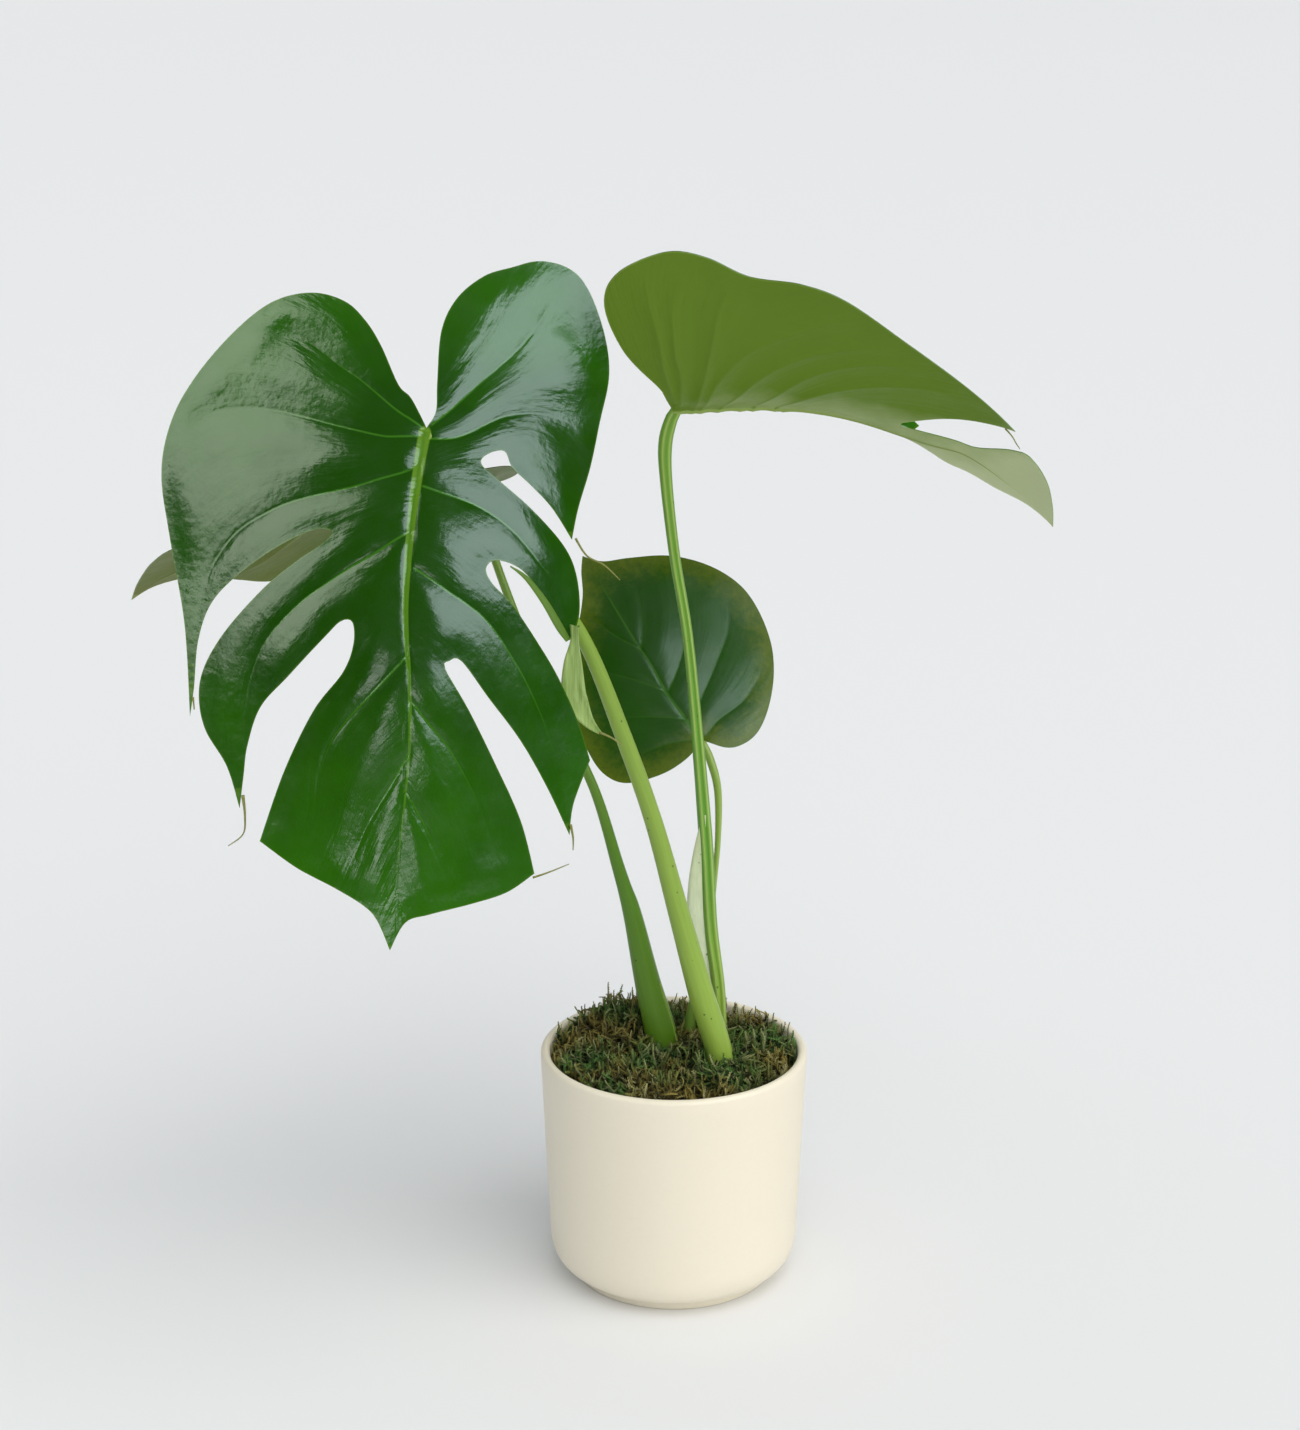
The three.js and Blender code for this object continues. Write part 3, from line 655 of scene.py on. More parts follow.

# %% [markdown]
# ## The front leaf
#
# The largest leaf faces forward with its glossy side. Seen from the front it has three slits on the right
# and two on the left. Its layout lists, in millimetres, the outline as runs between corners, the form, the
# midrib and the side veins. A last field makes the green paler above zero and darker below zero: partly
# younger and older green, and partly painted light, with the upper lobes painted brighter and the middle
# darker.

# %% Front leaf layout

front_leaf = {
    "junction": [-109, -60, 430],
    "tip": [-5, -45, -89],
    "face": [0, -89, 45],
    "outline": [
        [[-0.5, -2], [7, -15], [13, -21], [22, -39], [30, -51], [40, -60], [55, -64], [72, -60],
         [88, -47], [105, -26], [115, -6], [118, 17], [112, 46], [102, 85], [96.5, 125]],
        [[95.5, 112], [95, 92], [90, 76], [78, 64], [60, 52.5], [45, 46], [37, 46.5], [39, 51], [52, 60],
         [66, 71], [82, 88], [91, 103], [93, 116], [89, 131], [78, 147], [71, 165]],
        [[70, 150], [69, 138], [64, 122], [52, 109], [37, 93], [30, 86], [25, 86.5], [24, 96], [28, 108],
         [40, 124], [52, 150], [61, 179]],
        [[44, 190], [27, 198], [14, 205], [8, 211], [2, 223]],
        [[-4, 211], [-14, 207], [-32, 201], [-46, 195], [-57, 186]],
        [[-50, 164], [-38, 141], [-26, 120], [-15.5, 104], [-17, 100.5], [-22, 100], [-34, 114],
         [-48, 130], [-60, 148], [-71, 168]],
        [[-72, 154], [-78, 134]],
        [[-72, 118], [-63, 101], [-54, 88], [-42, 73], [-33, 65], [-30, 59], [-34, 54.5], [-45, 57],
         [-55, 68], [-64, 83]],
        [[-67, 82], [-70, 70], [-68, 54], [-62, 42], [-48, 29], [-34, 19], [-25, 12], [-27, 7], [-34, 4],
         [-38, 11], [-47, 18], [-56, 26], [-65, 38]],
        [[-67, 22], [-71, 2], [-74, -20], [-77, -42], [-74, -60], [-66, -78], [-57, -86], [-44, -87],
         [-32, -82], [-20, -76], [-9, -64], [-3.5, -48], [-3.5, -24], [-4, -10], [-0.5, -2]],
    ],
    "form": [
        [0, -60, -8], [0, 0, 0], [0, 120, 0], [0, 225, -22], [125, -20, -26], [125, 60, -36],
        [90, 160, -30], [60, -75, -12], [-60, -75, -26], [-105, -20, -66], [-105, 60, -66],
        [-70, 150, -34], [60, 60, -6], [-50, 50, -14],
    ],
    "fold": [0, 0],
    "midrib": [
        [0, 0], [1.8, 23], [2.9, 50], [2.9, 76], [1.5, 93], [-0.7, 110], [-2.2, 135], [-1.3, 160],
        [0, 180], [2, 219],
    ],
    "veins": [
        [[0, -1], [6, -5], [14, -10], [30, -23], [39, -29], [52, -39], [64, -46]],
        [[1, 2], [11, 3], [19, 3], [37, -1], [51, -5], [67, -9], [83, -11], [100, -9]],
        [[2, 15], [7, 19], [18, 23], [30, 27], [52, 32], [66, 37], [81, 46], [92, 62], [97, 84]],
        [[3, 46], [9, 50], [17, 56], [28, 63], [38, 70], [49, 78], [62, 92], [69, 108], [71, 128],
         [70, 146]],
        [[1, 100], [10, 111], [18, 120], [26, 129], [32, 138], [36, 152], [37, 170]],
        [[-2, 141], [6, 156], [14, 171], [19, 184]],
        [[-1, -2], [-8, -9], [-14, -16], [-22, -26], [-38, -46], [-48, -64], [-52, -74]],
        [[-1, 3], [-11, 2], [-19, -2], [-33, -12], [-48, -17], [-60, -16]],
        [[-1, 25], [-8, 27], [-26, 32], [-40, 40], [-52, 52], [-61, 62], [-67, 76]],
        [[0, 62], [-7, 66], [-15, 71], [-31, 81], [-44, 97], [-51, 108], [-58, 122], [-65, 141],
         [-71, 164]],
        [[-2, 119], [-11, 129], [-20, 139], [-32, 159], [-39, 176]],
        [[-1, 156], [-10, 170], [-17, 184]],
    ],
    "vein_width": 0.95,
    "rib_width": 2.75,
    "quilting": 1.2,
    "ribbing": 0.06,
    # Painted light and shade: the upper lobes, which face the light, are paler and the middle darker; the
    # tip is paler too.
    "fresh_and_lit": [
        [0, -20, 0], [0, 60, -0.25], [60, 30, -0.1], [-50, 40, -0.1], [40, -60, 0.4], [-50, -80, 0.45],
        [0, 190, 0.55], [50, 160, 0.4], [-50, 170, 0.4],
    ],
}


print("front leaf:", len(front_leaf["outline"]), "outline runs,", len(front_leaf["veins"]), "side veins")

# %% [markdown]
# ### Turned finger, rolled edge and dried tips
#
# A long finger on the right turns over as it hangs, so its pale underside shows in front of the stalks.
# Bending the blade itself that far would fold its mesh, so the turned part is a strip of its own that
# meets the blade at its corner. The lower edge of one finger on the left rolls over a little: that is a
# low arched strip laid on the blade. The tips of the fingers have dried to curly threads, which are thin
# rods.

# %% Turned strip, rolled edge, dried thread

fine_step = 1.5


def turned_strip(stations, step, columns=7):
    """A thin, slightly cupped strip along (x, y, z, half width, turn in degrees) stations."""
    route = through_points(stations, step)
    centres, half_widths, turns = route[:, :3], route[:, 3], np.radians(route[:, 4])
    sides, ups = ring_frames(centres, (1, 0, 0))
    wide = sides * np.cos(turns)[:, None] + ups * np.sin(turns)[:, None]
    thin = -sides * np.sin(turns)[:, None] + ups * np.cos(turns)[:, None]
    spread = np.linspace(-1, 1, columns)
    cup = 0.22 * (spread ** 2)
    sheet = (centres[:, None] + (half_widths[:, None] * spread)[:, :, None] * wide[:, None]
             + (half_widths[:, None] * cup)[:, :, None] * thin[:, None])
    back = sheet - 0.3 * thin[:, None]
    count = len(centres) * columns
    faces = []
    for i in range(len(centres) - 1):
        for j in range(columns - 1):
            a, b = i * columns + j, i * columns + j + 1
            c, d = b + columns, a + columns
            faces += [(a, b, c, d), (d + count, c + count, b + count, a + count)]
        left, right = i * columns, i * columns + columns - 1
        faces.append((left, left + columns, left + columns + count, left + count))
        faces.append((right + count, right + columns + count, right + columns, right))
    return np.vstack([sheet.reshape(-1, 3), back.reshape(-1, 3)]), faces


def rolled_margin(leaf, stations, step, columns=7):
    """A rolled edge: a low arched strip on a blade, along flat (x, y, half width) stations."""
    route = through_points(stations, step)
    onward = np.gradient(route[:, :2], axis=0)
    onward /= np.linalg.norm(onward, axis=1)[:, None]
    sideways = np.column_stack([-onward[:, 1], onward[:, 0]])
    spread = np.linspace(-1, 1, columns)
    x, y = (route[:, None, :2] + (route[:, 2:] * spread)[:, :, None] * sideways[:, None]).reshape(-1, 2).T
    arch = (0.55 * route[:, 2:] * (1 - spread ** 2)).ravel() + 0.3
    faces = [(i * columns + j, i * columns + j + 1, (i + 1) * columns + j + 1, (i + 1) * columns + j)
             for i in range(len(route) - 1) for j in range(columns - 1)]
    return place_on_plant(leaf, x, y, middle_height(leaf)(x, y) + arch), faces


def dried_thread(stations):
    """A dried finger tip: a thin rod through its (x, y, z, radius) stations."""
    vertices, faces, _, _ = rod_mesh(stations, fine_step, 6)
    return vertices, faces


strap = turned_strip([
    [-44.3, -75, 347, 3.2, 55], [-44.3, -75, 340.6, 2.2, 35], [-45, -75.5, 330, 4.4, 20],
    [-45, -75.5, 318, 5.4, 8], [-43, -75, 310.6, 4.9, 0], [-38.6, -75, 303.3, 2.7, 0],
    [-33.6, -75, 298.2, 0.8, 0]], fine_step)
rolled_edge = rolled_margin(front_leaf, [
    [-40, 56.3, 0.3], [-47, 60.2, 1.1], [-55, 68.6, 1.6], [-62, 78.4, 1.8], [-66, 83.5, 1.2]], fine_step)
front_threads = [
    [[-34, -75, 298.5, 0.6], [-30, -75, 296.8, 0.5], [-27, -75, 295, 0.4], [-24.4, -75, 292.7, 0.25]],
    [[-186.6, -110.9, 281, 0.8], [-186.1, -110.9, 271.6, 0.5], [-187.3, -110.9, 263.4, 0.35],
     [-194, -110.9, 258, 0.2]],
    [[-62, -119.2, 246.5, 0.5], [-55, -119.2, 249, 0.35], [-46.4, -119.2, 252.7, 0.2]],
    [[-46, -104.6, 265.5, 0.7], [-45, -104.6, 259.4, 0.45], [-45.1, -104.6, 253.9, 0.25]],
    [[-44.4, -52.6, 381, 0.6], [-39.4, -52.6, 373.1, 0.45], [-31.9, -52.6, 369, 0.4],
     [-24.9, -52.6, 362.2, 0.25]],
    [[-210.2, -86.9, 318, 0.5], [-210, -86.9, 312.5, 0.3]],
]
print("front leaf extras:", len(strap[1]), "faces of turned strip and", len(front_threads), "dried threads")

# %% [markdown]
# ### Dried and turned surfaces
#
# A dried tip has lost its wax and its green, so it is matt and straw-coloured, mottled every few
# millimetres. The turned underside is young and thin, so light comes through and it looks pale, with fine
# parallel veins about 1 mm apart. Real translucency would need a slow shader and would hardly differ on so
# narrow a strip.

# %% Dried tip and turned underside

dry_tip, dry_tree, dry_shader = start_material("dried_leaf_tip", Roughness=0.6, IOR=1.4)
dry_streaks = add_node(dry_tree, "ShaderNodeTexNoise", {"Scale": per_mm(4), "Detail": 2.0})
dry_colour = add_node(dry_tree, "ShaderNodeMix", {
    "Factor": dry_streaks.outputs["Fac"], "A": linear("#5d5a2c"), "B": linear("#9aa050")}, data_type="RGBA")
dry_tree.links.new(dry_colour.outputs["Result"], dry_shader.inputs["Base Color"])
pale_back, pale_tree, pale_shader = start_material("translucent_turned_underside", Roughness=0.5, IOR=1.4)
pale_place = add_node(pale_tree, "ShaderNodeTexCoord").outputs["Object"]
drawn_out = add_node(pale_tree, "ShaderNodeMapping", {"Vector": pale_place, "Scale": (1.0, 1.0, 0.06)})
fine_veins = add_node(pale_tree, "ShaderNodeTexNoise", {
    "Vector": drawn_out.outputs["Vector"], "Scale": per_mm(1.4), "Detail": 2.0})
fine_vein = add_node(pale_tree, "ShaderNodeMapRange", {
    "Value": fine_veins.outputs["Fac"], "From Min": 0.35, "From Max": 0.65})
pale_colour = add_node(pale_tree, "ShaderNodeMix", {
    "Factor": fine_vein.outputs["Result"], "A": linear("#83a251"), "B": linear("#b0c97c")},
    data_type="RGBA")
pale_tree.links.new(pale_colour.outputs["Result"], pale_shader.inputs["Base Color"])
print("finishes of the turned and dried parts:", pale_back.name, dry_tip.name)

# %% Front leaf

spacing = 2.2
front_slots = [glossy_leaf, glossy_back, dry_tip, pale_back]
front_extras = [(*strap, front_slots.index(pale_back)), (*rolled_edge, front_slots.index(glossy_back))]
front_extras += [(*dried_thread(thread), front_slots.index(dry_tip)) for thread in front_threads]
front_blade = build_leaf("leaf_front_blade", front_leaf, front_slots, spacing, front_extras)
fit(front_blade, "leaf_front")

# %% [markdown]
# ## The right leaf
#
# The right leaf is held flat and seen from below: a satin olive underside whose veins stand out as ridges.
# Its halves rise in a shallow V from the midrib, and its tip hangs. It could be the front leaf turned
# over, but no two leaves of a plant are alike, so it gets a layout and greens of its own from the same
# recipe.

# %% Right leaf

right_leaf = {
    "junction": [0, 20, 427],
    "tip": [100, 0, -10],
    "face": [9, 46, 89],
    "outline": [
        [[0, -1], [11, -4], [24, -9], [46, -27], [68, -37], [83, -32], [93, -13], [92, 5], [86, 25],
         [87, 48], [83, 68], [67, 98], [56, 122], [45, 151]],
        [[35, 138], [22, 119], [13, 107], [9.5, 104], [8, 107], [10, 130], [14, 140], [30, 153],
         [36, 160], [31, 169], [17, 175], [-1, 179]],
        [[-4, 166], [-14, 152], [-21, 141], [-17, 130], [-9, 112], [-10, 106], [-17, 108], [-26, 112],
         [-36, 118]],
        [[-50, 104], [-64, 90], [-79, 64], [-86, 44], [-88, 22], [-88, 8], [-80, -3], [-65, -9],
         [-46, -10], [-28, -7], [-12, -3], [0, -1]],
    ],
    "form": [
        [0, -50, 0], [0, 0, 0], [0, 100, 0], [0, 180, -40], [0, 215, -90], [100, 0, 34], [100, 120, 10],
        [60, 60, 14], [40, 152, -15], [-60, -20, 40], [-100, 0, 54], [-90, 100, 36], [-46, 132, 14],
        [-17, 130, -10], [-14, 152, -20], [3, 115, -3.8], [3, 133, -8.5], [4, 152, -19], [13, 135, -8],
    ],
    "fold": [0.1, 0.14],
    "midrib": [[0, 0], [0, 40], [0, 80], [0, 112], [4, 140], [3, 160], [0, 177]],
    "veins": [
        [[0, 0], [12, 0], [36, -7], [55, -12], [68, -17], [80, -20]],
        [[1, 2], [9, 2], [31, 1], [45, -3], [56, -5], [67, -7], [80, -6]],
        [[1, 8], [12, 10], [40, 12], [56, 13], [64, 13], [80, 16]],
        [[1, 11], [6, 13], [29, 18], [46, 28], [54, 38], [64, 54], [72, 66]],
        [[0, 20], [5, 22], [29, 35], [44, 50], [54, 69], [60, 88]],
        [[0, 36], [6, 38], [26, 51], [38, 63], [48, 82], [53, 103]],
        [[0, 46], [5, 49], [18, 61], [29, 76], [39, 100], [44, 122]],
        [[0, 0], [-12, -1], [-36, -4], [-60, -5], [-74, 0]],
        [[0, 12], [-20, 15], [-48, 22], [-74, 30]],
        [[0, 30], [-18, 38], [-42, 54], [-64, 74]],
        [[0, 50], [-14, 62], [-32, 82], [-46, 106]],
    ],
    "vein_width": 1.3,
    "rib_width": 2.4,
    "quilting": 1.1,
    "ribbing": 0.12,
    # Painted sheen: the field is high in a band beside the midrib, where this underside is painted pale,
    # and at the paler tip.
    "fresh_and_lit": [
        [0, 0, -0.1], [60, 0, -0.25], [60, 90, -0.3], [45, 140, -0.25], [3, 60, 0.35], [3, 100, 0.4],
        [22, 60, -0.1], [24, 100, -0.15], [0, 140, 0.8], [30, 160, 0.9], [0, 180, 0.9], [-60, 40, 0],
    ],
}

right_thread = dried_thread([
    [147.5, -20.8, 424.2, 0.5], [150.5, -21.2, 420.9, 0.35], [152.4, -21.2, 417.8, 0.3],
    [154.3, -21.2, 415, 0.2]])
# The palest green of this underside is the painted sheen laid on by the field above.
olive_back = leaf_finish(
    "satin_leaf_underside", body="#618018", fresh_and_lit="#bcc896", vein="#688528", rib="#93ad55",
    rib_end="#8d9c5c", roughness=0.5, gloss=0.25)
right_slots = [glossy_leaf, olive_back, dry_tip]
right_blade = build_leaf("leaf_right_blade", right_leaf, right_slots, spacing,
                         [(*right_thread, right_slots.index(dry_tip))])
fit(right_blade, "leaf_right")

# %% [markdown]
# ## The back leaf
#
# The back leaf droops behind the front one, and only its tip and the parts behind the slits show from the
# front. The rest is made all the same, because the plant is looked at from every side. Its underside is
# greyer than the right leaf's, as it stands in the shade of the others.

# %% Back leaf

back_leaf = {
    "junction": [-96, 40, 385],
    "tip": [-100, -5, -20],
    "face": [0, 41, 91],
    "outline": [
        [[0, -2], [8, -9], [22, -13], [42, -10], [58, 4], [66, 28], [66, 60], [61, 106], [47, 124],
         [24, 142], [18, 160], [27, 174]],
        [[8, 167], [-10, 159], [-26, 151], [-44, 138], [-58, 112], [-68, 74], [-73, 36], [-71, 2],
         [-62, -18], [-43, -24], [-24, -24], [-9, -17], [0, -2]],
    ],
    "form": [
        [0, -50, -3], [0, 0, 0], [0, 90, 0], [0, 170, -12], [60, 0, -8], [60, 90, -10], [-60, 0, -8],
        [-60, 90, -10],
    ],
    "fold": [0, 0],
    "midrib": [[0, 0], [0, 60], [2, 110], [8, 150], [20, 168]],
    "veins": [
        [[0, 2], [16, -4], [38, -3], [54, 6]],
        [[0, 16], [20, 18], [42, 28], [58, 44]],
        [[0, 42], [20, 50], [40, 66], [56, 88]],
        [[0, 76], [16, 88], [32, 108], [40, 124]],
        [[0, 0], [-16, -10], [-40, -15], [-60, -12]],
        [[0, 14], [-24, 14], [-48, 18], [-66, 28]],
        [[0, 40], [-22, 46], [-44, 60], [-60, 80]],
        [[0, 72], [-18, 82], [-36, 100], [-48, 122]],
        [[2, 108], [-12, 120], [-24, 138]],
    ],
    "vein_width": 1.2,
    "rib_width": 2.2,
    "quilting": 1.3,
    "ribbing": 0.1,
    "fresh_and_lit": [[0, 0, 0], [0, 100, 0.1], [0, 170, 0.5], [60, 60, 0.2], [-60, 60, 0.2]],
}

grey_back = leaf_finish(
    "grey_green_leaf_underside", body="#62763a", fresh_and_lit="#6f7420", vein="#8a9c5c", rib="#9aac62",
    rib_end="#8c9c55", roughness=0.5, relief=0.2, gloss=0.2)
back_blade = build_leaf("leaf_back_blade", back_leaf, [glossy_leaf, grey_back], spacing)
fit(back_blade, "leaf_back")

# %% [markdown]
# ## The small leaf
#
# The first leaves of a young plant are heart-shaped and have no slits. This one stands upright behind the
# stalks, and it is the oldest: its wax is dull, and its margins turn olive-brown in blotches and specks.

# %% Small leaf

small_leaf = {
    "junction": [14, 42, 259],
    "tip": [-53, 42, 73],
    "face": [0, -87, 50],
    "outline": [
        [[0, 1], [8, -8.5], [16, -11.5], [26, -10], [37.5, -2], [49, 11], [57, 26], [61, 44], [60, 60],
         [52, 76], [38, 90], [20, 99.5], [8, 105], [1, 113]],
        [[-4, 106], [-10, 95], [-19, 84], [-30, 73], [-40, 61], [-46, 47], [-49, 30], [-49, 14], [-42, 3],
         [-25, -3], [-10, -3], [0, 1]],
    ],
    "form": [[0, -30, -3], [0, 0, 0], [0, 60, 2], [0, 115, -6], [50, 40, -8], [-50, 40, -8]],
    "fold": [0, 0],
    "midrib": [[0, 0], [-2, 28], [-1, 45], [-1, 63], [0, 85], [2, 108]],
    "veins": [
        [[0, 0], [12, 5], [28, 7], [44, 14]],
        [[0, 11], [13, 20], [27, 30], [43, 43], [52, 58]],
        [[-1, 30], [10, 38], [24, 52], [36, 70]],
        [[-1, 55], [8, 68], [16, 86]],
        [[0, 0], [-12, 7], [-27, 11], [-43, 15]],
        [[-1, 14], [-12, 22], [-30, 34], [-46, 44]],
        [[-2, 31], [-12, 44], [-24, 58], [-31, 67]],
        [[-1, 55], [-8, 68], [-14, 86]],
    ],
    "vein_width": 0.9,
    "rib_width": 1.2,
    "quilting": 0.7,
    "ribbing": 0.05,
    "fresh_and_lit": [[0, 0, 0], [0, 100, 0], [50, 40, 0.1], [-50, 40, 0]],
}

old_leaf = leaf_finish(
    "ageing_waxy_leaf", body="#1c4a01", fresh_and_lit="#2c5f05", vein="#2c5c08", rib="#346812", rib_end="#2d5f0a",
    roughness=0.34, edge="#586a06", edge_width=15, relief=0.06, gloss=0.38)
small_blade = build_leaf("leaf_small_blade", small_leaf, [old_leaf, glossy_back], spacing)
fit(small_blade, "leaf_small")

# %% [markdown]
# ## The stalks
#
# Each leaf has its own stalk, which clasps the plant's base with a sheath and ends in a thicker knee under
# the blade. First comes their skin: smooth, with a soft shine. Its green changes from the root to the
# leaf, faint streaks run lengthwise, as the fibres inside do, and there are a few corky specks.

# %% Stalk finish


def stalk_finish(name, root, middle, top, ridge_highlight, roughness=0.38):
    """Smooth green skin: three greens from root to leaf, pale stripes that are painted highlights, and fine
    lengthwise streaks.
    """
    material, tree, principled = start_material(name, Roughness=roughness, IOR=1.43, Specular_IOR_Level=0.4)
    share = add_node(tree, "ShaderNodeAttribute", attribute_name="share").outputs["Fac"]
    turn = add_node(tree, "ShaderNodeAttribute", attribute_name="turn").outputs["Fac"]
    pale = add_node(tree, "ShaderNodeAttribute", attribute_name="pale").outputs["Fac"]
    low = add_node(tree, "ShaderNodeMapRange", {"Value": share, "From Max": 0.36})
    high = add_node(tree, "ShaderNodeMapRange", {"Value": share, "From Min": 0.45, "From Max": 1.0})
    lower = add_node(tree, "ShaderNodeMix", {
        "Factor": low.outputs["Result"], "A": linear(root), "B": linear(middle)}, data_type="RGBA")
    whole = add_node(tree, "ShaderNodeMix", {
        "Factor": high.outputs["Result"], "A": lower.outputs["Result"], "B": linear(top)}, data_type="RGBA")
    # The pale stripes are painted highlights, mixed in where the stalk's pale number is high.
    with_highlights = add_node(tree, "ShaderNodeMix", {
        "Factor": pale, "A": whole.outputs["Result"], "B": linear(ridge_highlight)}, data_type="RGBA")

    # Streaks 1 to 2 mm wide and about 30 mm long. The ring is read as a circle, so that no seam shows.
    angle = add_node(tree, "ShaderNodeMath", {0: turn, 1: 2 * np.pi}, operation="MULTIPLY")
    side = add_node(tree, "ShaderNodeMath", {0: angle.outputs["Value"]}, operation="COSINE")
    front = add_node(tree, "ShaderNodeMath", {0: angle.outputs["Value"]}, operation="SINE")
    length = add_node(tree, "ShaderNodeMath", {0: share, 1: 4.0}, operation="MULTIPLY")
    around = add_node(tree, "ShaderNodeCombineXYZ", {
        "X": side.outputs["Value"], "Y": front.outputs["Value"], "Z": length.outputs["Value"]})
    streaks = add_node(tree, "ShaderNodeTexNoise", {
        "Vector": around.outputs["Vector"], "Scale": 3.5, "Detail": 3.0, "Roughness": 0.6})
    shade = add_node(tree, "ShaderNodeMapRange", {
        "Value": streaks.outputs["Fac"], "From Min": 0.35, "From Max": 0.7, "To Min": 0.92, "To Max": 1.05})
    streaked = add_node(tree, "ShaderNodeMix", {
        "Factor": 1.0, "A": with_highlights.outputs["Result"], "B": shade.outputs["Result"]},
        data_type="RGBA", blend_type="MULTIPLY")

    # A few dark corky specks, about a millimetre across.
    position = add_node(tree, "ShaderNodeTexCoord").outputs["Object"]
    spots = add_node(tree, "ShaderNodeTexVoronoi", {"Vector": position, "Scale": per_mm(7)})
    speck = add_node(tree, "ShaderNodeMapRange", {
        "Value": spots.outputs["Distance"], "From Min": 0.05, "From Max": 0.1,
        "To Min": 0.7, "To Max": 0.0})
    specked = add_node(tree, "ShaderNodeMix", {
        "Factor": speck.outputs["Result"], "A": streaked.outputs["Result"], "B": linear("#2c3f10")},
        data_type="RGBA")
    tree.links.new(specked.outputs["Result"], principled.inputs["Base Color"])
    bump = add_node(tree, "ShaderNodeBump", {
        "Height": streaks.outputs["Fac"], "Strength": 0.12, "Distance": 0.5 * MM})
    tree.links.new(bump.outputs["Normal"], principled.inputs["Normal"])
    return material


yellow_green = stalk_finish(
    "pale_young_stalk", root="#9cbb4a", middle="#8aa945", top="#7f9f3c", ridge_highlight="#b0c676")
ridged_green = stalk_finish(
    "grooved_stalk", root="#a9c04c", middle="#60982c", top="#6d9a2c", ridge_highlight="#a9c668")
mid_green = stalk_finish(
    "green_stalk", root="#587c14", middle="#588420", top="#86a648", ridge_highlight="#86a64a")
sheath_skin = stalk_finish(
    "translucent_sheath", root="#d0dc98", middle="#e4eed0", top="#ced9aa", ridge_highlight="#dfe6cb", roughness=0.5)
print("stalk finishes:", yellow_green.name, ridged_green.name, mid_green.name, sheath_skin.name)

# %% [markdown]
# ### Routes and ring shapes
#
# The routes repeat the stations of the CAD stalks, so each one leaves the crown and meets its leaf where
# the CAD says. Young stalks are nearly round. The right one has a groove between two ridges, which are
# painted pale as highlights, and the back one wears a sheath on its lower half. A ring shape is a small
# formula of the share of the length and the turn, which is simpler to adjust than modelling each of the
# ridges by hand.

# %% Routes and ring shapes

stalk_routes = {
    "front": [
        [15, -2, 70, 5.5], [23, -13, 92, 6.4], [22, -15, 118, 6.6], [13, -16, 150, 6.3],
        [2, -17, 192, 5.2], [-10, -18, 238, 4.3], [-24, -22, 281, 4], [-41, -28, 327, 3.4],
        [-62, -34, 362, 3], [-84, -44, 395, 2.8], [-104, -56, 423, 2.7], [-108.2, -58.6, 427.5, 2.5],
    ],
    "right": [
        [14, 8, 70, 3.2], [22, 12, 94, 3.3], [22.5, 12, 135, 3.2], [18, 13, 174, 3.3],
        [15.5, 14, 215, 3.4], [11, 15, 270, 2.9], [6, 16, 320, 2.6], [0, 17, 357, 2.6],
        [-4, 18, 392, 2.9], [-4.5, 19.5, 410, 3.3], [-1.5, 20, 422, 3], [1.5, 20, 426.3, 2.4],
    ],
    "back": [
        [5, 4, 70, 6], [-4, 4, 94, 7.2], [-6.8, 4, 120, 7.1], [-13.2, 6, 147, 5.9], [-20.3, 9, 181, 4.3],
        [-27, 11, 205, 3.1], [-38, 15, 242, 2.4], [-54, 20, 276, 2.3], [-69, 26, 309, 2.1],
        [-84, 33, 348, 2], [-95, 39.5, 383, 1.9],
    ],
    "small": [
        [12, 12, 72, 1.8], [17, 20, 96, 1.9], [18, 21, 140, 1.6], [19, 23, 180, 1.3],
        [21.5, 28, 212, 1.5], [21.5, 34, 236, 1.9], [18, 38.5, 250, 2.1], [14, 42, 258.5, 1.8],
    ],
    "bud": [[5, 13, 72, 3], [7, 20, 92, 3.6], [8, 20, 114, 3.2], [8.5, 20, 126, 2], [9, 20, 133, 0.8]],
}


def hump(turn, centre, width):
    """A smooth bump of height one round the given place on the ring, where the ring is one turn round."""
    gap = (turn - centre + 0.5) % 1 - 0.5
    return np.exp(-(gap / width) ** 2)


def plain_ring(share, turn):
    """A ring that is only just not a circle, the same all the way up."""
    return 1 + 0.02 * np.cos(4 * np.pi * turn) + 0 * share


def grooved_ring(share, turn):
    """Two ridges and the groove between them, gone at the knee under the blade."""
    fade = 1 - np.clip((share - 0.8) / 0.12, 0, 1)
    return 1 + fade * (0.08 * hump(turn, -0.06, 0.03) + 0.08 * hump(turn, 0.11, 0.03)
                       - 0.28 * hump(turn, 0.03, 0.035))


def clasping_ring(share, turn):
    """A sheath wraps the lower half and ends in a small step on the right, where a thin wing stands out."""
    wrapped = 1 / (1 + np.exp((share - 0.375) / 0.004))
    wing = 0.22 * wrapped * (1 - share / 0.4) * hump(turn, 0.27, 0.03)
    return 1 + 0.1 * wrapped * hump(turn, 0.2, 0.14) + wing


for name, route in stalk_routes.items():
    print(name, "stalk: from", route[0][2], "mm to", route[-1][2], "mm above the pot's foot")

# %% [markdown]
# ### The stalks themselves
#
# The pale stripes are painted highlights: along the two ridges of the right stalk, and down one side of the
# back and small stalks and the bud. They are stored as a number on the vertices, and the finish reads it as
# `pale`. The thin wing of a sheath is a strip joined to its stalk, because it grew as one piece with it.

# %% Stalks


